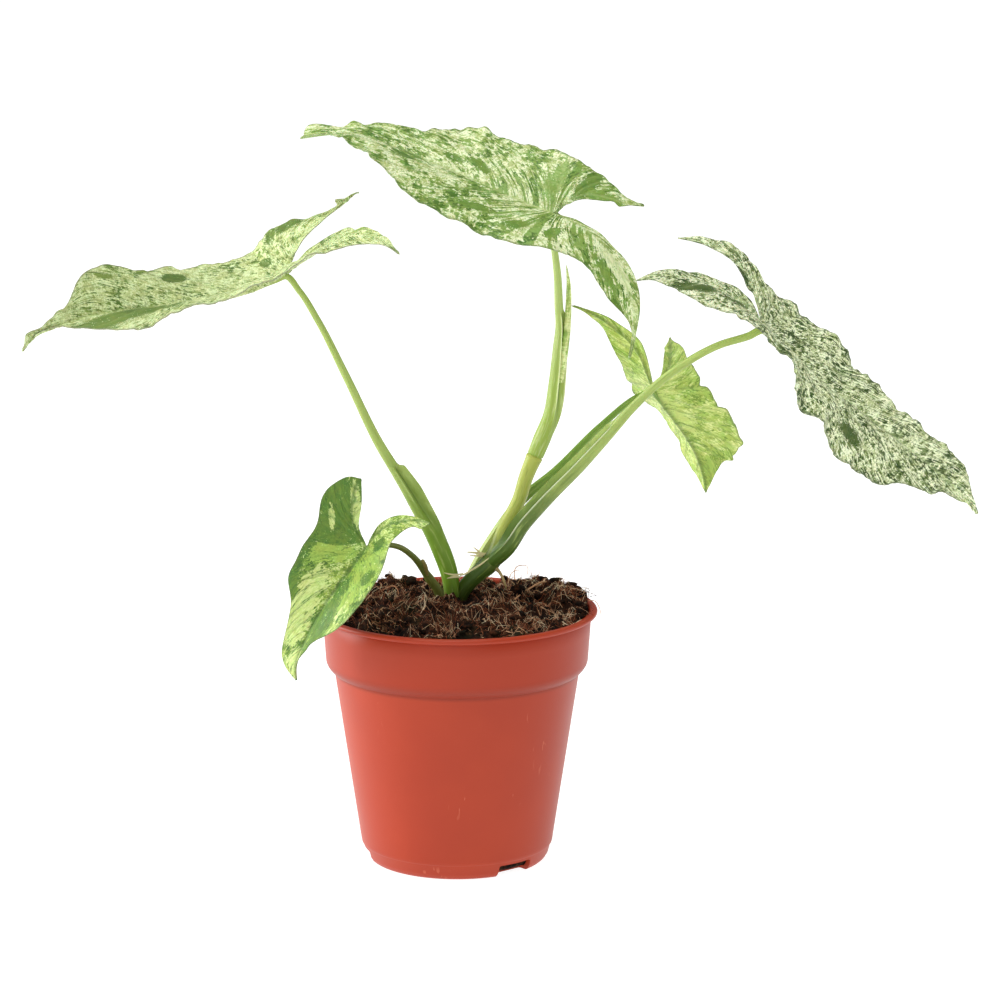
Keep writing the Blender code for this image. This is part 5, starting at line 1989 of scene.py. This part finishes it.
LEAF_LEFT = Blade(
    "leaf_left_blade", sinus=(-71.4, -5, 254.7), length=126, heading=(196, 2, 39),
    rise=(-30, 115, -116), roll=(-9, -5, -67), ruffle=1.1, waves=6, phase=0.55,
    left=HalfShape(
        widths=(2, 6, 25, 26, 30, 32), lobe_widths=(25, 30, 37), lobe_tip=(40, 46), sinus=(25, 14),
        fold=40, curl=0.42, droop=0.05, lobe_curl=-1,
        bulges=((0.11, 0.05, -3), (0.38, 0.03, 0.8), (0.15, 0.02, -1.5, 1.2), (0.25, 0.05, 1.2),
                (0.6, 0.02, 1.2, -1.2), (0.65, 0.012, 0, 0.6), (0.8, 0.02, 1, -1.3)),
        inner_bulges=((0.12, 0.05, 1.5), (0.38, 0.05, 1.8), (0.62, 0.05, 0.6), (0.75, 0.05, 1.1),
                      (0.88, 0.05, 3.4))),
    right=HalfShape(
        widths=(2, 6, 21, 20, 22, 24), lobe_widths=(37, 32, 37), lobe_tip=(51, 50), sinus=(1, 5),
        fold=22, curl=0.21, droop=-0.13, lobe_curl=-0.82,
        bulges=((0.17, 0.012, 1), (0.26, 0.03, 1.2, 0.5), (0.36, 0.03, 1.6, 0.5),
                (0.43, 0.025, -1.3), (0.51, 0.012, 1.2, 0.5), (0.695, 0.012, 1.3),
                (0.825, 0.016, -2.2), (0.905, 0.014, 6, 2), (0.05, 0.02, 2.2), (0.1, 0.02, -0.8),
                (0.5, 0.02, 2.2, 0.5), (0.55, 0.015, 0.8), (0.75, 0.02, 1.3, 0.6)),
        inner_bulges=((0.12, 0.05, -1.3), (0.62, 0.04, 1.6), (0.88, 0.05, 2.6))),
    slot="leaf_yellow_green", finish=YELLOW_LEAF, under=YELLOW_UNDER, crinkle=0.4, frill=0.45,
    hooks=((0.93, 0.08, -0.6, 1.6),))
LEAF_RIGHT = Blade(
    "leaf_right_blade", sinus=(126.2, -35, 236.7), length=121, heading=(0, -33, -27),
    rise=(-47, 39, -24), roll=(15, -13, 39), ruffle=1.5, waves=6.5, phase=0.3,
    left=HalfShape(
        widths=(4, 11, 12, 16, 25, 32), lobe_widths=(32, 35, 32), lobe_tip=(47, 29), sinus=(-7, -9),
        fold=8, curl=0, droop=1.15, lobe_curl=0.58,
        bulges=((0.35, 0.02, 1), (0.58, 0.04, 2.5), (0.66, 0.03, 2), (0.715, 0.014, 1.8),
                (0.765, 0.03, -4.5), (0.85, 0.03, 1.8), (0.25, 0.015, 2), (0.3, 0.015, -1.5),
                (0.55, 0.02, 2.5, 1), (0.7, 0.015, 2.5, 1)),
        inner_bulges=((0.45, 0.08, 4.5), (0.78, 0.06, 1))),
    right=HalfShape(
        widths=(2, 19, 39, 39, 40, 25), lobe_widths=(30, 29, 26), lobe_tip=(53, 30), sinus=(17, 14),
        fold=28, curl=0.39, droop=0.69, lobe_curl=-0.65,
        bulges=((0.05, 0.02, -1), (0.15, 0.02, 2.4), (0.28, 0.03, 2), (0.43, 0.03, 4.6),
                (0.57, 0.03, 2.8), (0.61, 0.02, 1.5), (0.25, 0.02, 1.5), (0.4, 0.025, 2.5),
                (0.65, 0.02, -1.5), (0.8, 0.02, -1)),
        inner_bulges=((0.12, 0.06, 3.2), (0.25, 0.05, 1.5), (0.5, 0.06, 2.6))),
    slot="leaf_grey_green", finish=GREY_LEAF, under=GREY_UNDER_SHADED, crinkle=0.7, frill=0.95)
LEAF_REAR = Blade(
    "leaf_rear_blade", sinus=(85.1, 38, 197.9), length=71, heading=(56, -23, 34),
    rise=(-46, 31, -58), roll=(16, 22, -14), ruffle=0.8, waves=5, phase=0.75,
    left=HalfShape(
        widths=(5.5, 12, 14.5, 17.5, 21.5, 18.5), lobe_widths=(13.5, 17, 23.5), lobe_tip=(44, 28),
        sinus=(11.5, 6.5), fold=10, curl=0.24, droop=-0.73, lobe_curl=-0.99,
        bulges=((0.3, 0.03, 1.7), (0.5, 0.03, 1.2), (0.62, 0.03, 0.6)),
        inner_bulges=((0.45, 0.15, 1.5), (0.75, 0.1, 0.9))),
    right=HalfShape(
        widths=(2.5, 9, 20, 22, 21.5, 19.5), lobe_widths=(19.5, 21, 21.5), lobe_tip=(34, 22.5),
        sinus=(-1, 0.5), fold=35, curl=-0.15, droop=0.47, lobe_curl=0.1,
        bulges=((0.24, 0.011, 2.4), (0.26, 0.03, 1), (0.34, 0.02, 1.3), (0.57, 0.01, -0.8),
                (0.7, 0.015, -1.8)),
        inner_bulges=((0.12, 0.06, 1.7), (0.8, 0.06, 1.1))),
    slot="leaf_light_green", finish=LIGHT_LEAF, under=LIGHT_UNDER, crinkle=0.35, frill=0.35,
    **SMALL)
LEAF_LOW = Blade(
    "leaf_low_blade", sinus=(-37.3, -42, 145.6), length=65, heading=(201, -27, -17),
    rise=(-54, 22, -57), roll=(-43, -12, 12), ruffle=0.5, waves=4, phase=0.05,
    left=HalfShape(
        widths=(3, 8, 15, 20.5, 20, 16.5), lobe_widths=(11.5, 13.5, 19), lobe_tip=(22, 22.5),
        sinus=(8, 6.5), fold=31, curl=0.14, droop=0.45, lobe_curl=-0.29,
        bulges=((0.11, 0.06, -3.4), (0.27, 0.06, -1.6), (0.95, 0.03, 2.4)),
        inner_bulges=((0.4, 0.3, 1.4),)),
    right=HalfShape(
        widths=(5.5, 9, 10.5, 17, 20, 21), lobe_widths=(24.5, 23.5, 20.5), lobe_tip=(21.7, 15.3),
        sinus=(-3, -1), fold=20, curl=-0.13, droop=-0.27, lobe_curl=0.28,
        bulges=((0.12, 0.08, 0.8), (0.45, 0.05, 1), (0.9, 0.06, -0.6))),
    slot="leaf_bright_green", finish=BRIGHT_LEAF, under=BRIGHT_UNDER, crinkle=0.15, frill=0.15,
    hooks=((0.9, 0.1, -1.2, 0),), **SMALL)

STEM_RIND = Rind(
    "stem_rind", foot=(64, 88, 26), head=(174, 184, 86), streak=(132, 152, 62), lip=(226, 214, 164),
    dry=(190, 160, 112), turn=(0.34, 0.58))
LIGHT_RIND = Rind(
    "light_rind", foot=(150, 174, 74), head=(180, 198, 124), streak=(204, 214, 152),
    lip=(214, 222, 166))
GREEN_RIND = Rind(
    "green_rind", foot=(108, 144, 34), head=(164, 184, 98), streak=(178, 198, 112),
    lip=(196, 214, 140), turn=(0.1, 0.48))
REAR_RIND = Rind(
    "rear_rind", foot=(184, 198, 120), head=(110, 144, 54), streak=(156, 180, 92),
    lip=(206, 214, 160), groove=(156, 176, 98), turn=(0.12, 0.4))
RIGHT_RIND = Rind(
    "right_rind", foot=(76, 104, 34), head=(154, 174, 90), streak=(168, 190, 100),
    lip=(226, 236, 196), turn=(0.03, 0.42))
DARK_RIND = Rind(
    "dark_rind", foot=(98, 104, 40), head=(92, 104, 44), streak=(128, 130, 70), lip=(136, 122, 82),
    dry=(134, 116, 62))

STALKS = (
    Stalk(
        "main_stem_stalk",
        ((1, 7, 104, 2.8), (2, 6, 114.5, 3.3), (7.6, 4.6, 122, 3.5), (14.4, 4.6, 128.4, 3.7),
         (20.5, 8, 143, 3), (26.5, 8, 155, 3), (29.5, 8, 165, 3.1), (33, 8, 173.6, 3.5)),
        "stem_green", STEM_RIND, swellings=((127.6, 3.5, 0.12), (173, 0.8, 0.045)),
        twigs=(((15.5, 3.5, 126.4, 1.5), (17.4, 2.2, 125.4, 0.85), (19, 1.4, 123.2, 0.62),
                (20.2, 1, 120.4, 0.55), (21, 1.2, 117.6, 0.3)),),
        scales=(((12.5, 4.6, 131.6, 0.7), (9, 3.2, 132.6, 0.55), (4.4, 2.6, 133.2, 0.2)),
                ((12, 4.8, 131.2, 0.6), (8.8, 3.4, 131.4, 0.45), (5.4, 2.8, 131.6, 0.15)),
                ((11, 4.8, 130.6, 0.6), (9, 3.7, 133.4, 0.4), (7, 3.2, 135.2, 0.15)),
                ((13.6, 0.9, 131, 0.2), (10.4, 0.9, 128.4, 0.35), (6.6, 0.8, 126, 0.4),
                 (3.2, 0.6, 124, 0.35), (1.4, 0.4, 123.4, 0.2)),
                ((2.6, 0.8, 124.2, 0.3), (-1, 0.2, 123.8, 0.45), (-5.4, -0.4, 124.8, 0.15)),
                ((1.6, 0.6, 122.8, 0.35), (-1.4, 0, 122.9, 0.5), (-4.2, -0.4, 122.4, 0.15)))),
    Stalk(
        "petiole_low_stalk",
        ((-8, -4, 104, 1.7), (-8, -4, 117.5, 2), (-11.5, -7, 123.5, 1.8), (-19, -19, 136.5, 1.3),
         (-24.5, -27, 142, 1.2), (-31, -34.5, 144.4, 1.1)),
        "petiole_dark", DARK_RIND, blade=LEAF_LOW, swellings=((124, 1.6, 0.12),),
        twigs=(((-12.6, -10, 126, 0.6), (-13.6, -12.6, 130.4, 1.1), (-14.6, -14, 133.2, 0.8)),),
        spacing=0.8),
    Stalk(
        "petiole_rear_stalk",
        ((3.8, 10.4, 116, 2), (8.8, 12, 126, 2.4), (14.8, 13.2, 136, 2.3), (27.6, 13.8, 153.5, 2.2),
         (42, 16, 165.5, 1.9), (61.5, 23, 183.8, 1.5), (79, 33, 195.5, 1.3)),
        "petiole_green", REAR_RIND, blade=LEAF_REAR,
        sheath=Sheath(
            side=(0.3, -1, 0.2), bottom=118, top=160, run_out=3, lips=(0.2, 0.2), pale=(0.3, 0.3),
            groove=0.15)),
    Stalk(
        "petiole_top_stalk",
        ((33.3, 8, 174.3, 3.5), (36, 8, 181, 3.7), (39.8, 8, 191, 3.4), (41.7, 8, 204.5, 3),
         (43, 8, 219.5, 2.6), (43.6, 8, 230.5, 2), (43, 7, 238, 1.85), (42.4, 6, 250.5, 1.65),
         (40.5, 5.2, 266, 1.4)),
        "petiole_light", LIGHT_RIND, blade=LEAF_TOP,
        sheath=Sheath(side=(1, -0.55, 0), bottom=182, top=235.5, run_out=1.2, spread=46)),
    Stalk(
        "petiole_left_stalk",
        ((-1.5, 4, 104, 3), (-2.2, 4, 114.5, 3.3), (-3.2, 4, 123, 3.7), (-6.4, 3.6, 133, 4),
         (-10.6, 3, 142.5, 3.8), (-16, 2, 152, 3.3), (-22, 1, 162.5, 2.7), (-26.6, 0.4, 170, 2.3),
         (-31.4, 0, 178, 2.1), (-46.8, -3, 210.5, 1.65), (-58.5, -4, 234.4, 1.4),
         (-66, -5, 246.8, 1.3)),
        "petiole_green", GREEN_RIND, blade=LEAF_LEFT,
        sheath=Sheath(
            side=(0.45, -0.85, 0.25), bottom=136, top=170.2, run_out=0.8, lips=(0.2, 1.35),
            pale=(0.75, 0.1), spread=30, opening=0.7)),
    Stalk(
        "petiole_right_stalk",
        ((12, 5, 125, 2.2), (15.2, 3.6, 129.2, 3.4), (20.9, 1.4, 135, 3.6), (27.8, 0.4, 145.5, 3.4),
         (36.2, -0.5, 155.5, 3.3), (51.8, -3, 172.2, 3), (64, -9, 187, 2.4), (73.6, -14, 199, 1.9),
         (92.5, -24, 217.8, 1.65), (108.5, -31, 228.2, 1.55), (120, -34.4, 232.4, 1.6)),
        "petiole_light", RIGHT_RIND, blade=LEAF_RIGHT,
        sheath=Sheath(
            side=(-0.6, -0.45, 0.75), bottom=126, top=190, run_out=1.6, lips=(0.4, 0.35),
            pale=(0.3, 1), spread=34, opening=0.25)))

NEW_LEAF = Spear(
    points=((43.4, 7.4, 206, 1.5), (45.4, 7.2, 220, 1.7), (46.6, 7.2, 231, 1.6),
            (47, 7.4, 239, 1.4), (47.2, 8, 247, 0.9), (46.2, 8, 255, 0.25)),
    finish=Variegation(
        "spear_leaf", cream=(226, 232, 170), pale=(206, 218, 140), green=(168, 194, 104),
        dark=(140, 172, 80), cover=0.4, fleck=0.8, stretch=6))


def main() -> None:
    """Build the studio and every piece of the plant."""
    logging.basicConfig(level=logging.INFO, format="%(message)s")
    Studio().build()
    pot = NurseryPot()
    pot.build()
    peat = Peat(pot)
    peat.build_surface()
    peat.build_crumbs()
    peat.build_strands("coir_fibres", Strand.COIR, 3100, 2.2)
    peat.build_strands("coir_tufts", Strand.TUFT, 2200, 0.8)
    peat.build_strands("straws", Strand.STRAW, 12, 2)
    peat.build_strands("hair_roots", Strand.HAIR_ROOT, 90, 3.5)
    for stalk in STALKS:
        stalk.build()
    NEW_LEAF.build()
    for blade in (LEAF_TOP, LEAF_LEFT, LEAF_RIGHT, LEAF_REAR, LEAF_LOW):
        blade.build()


if __name__ == "__main__":
    main()
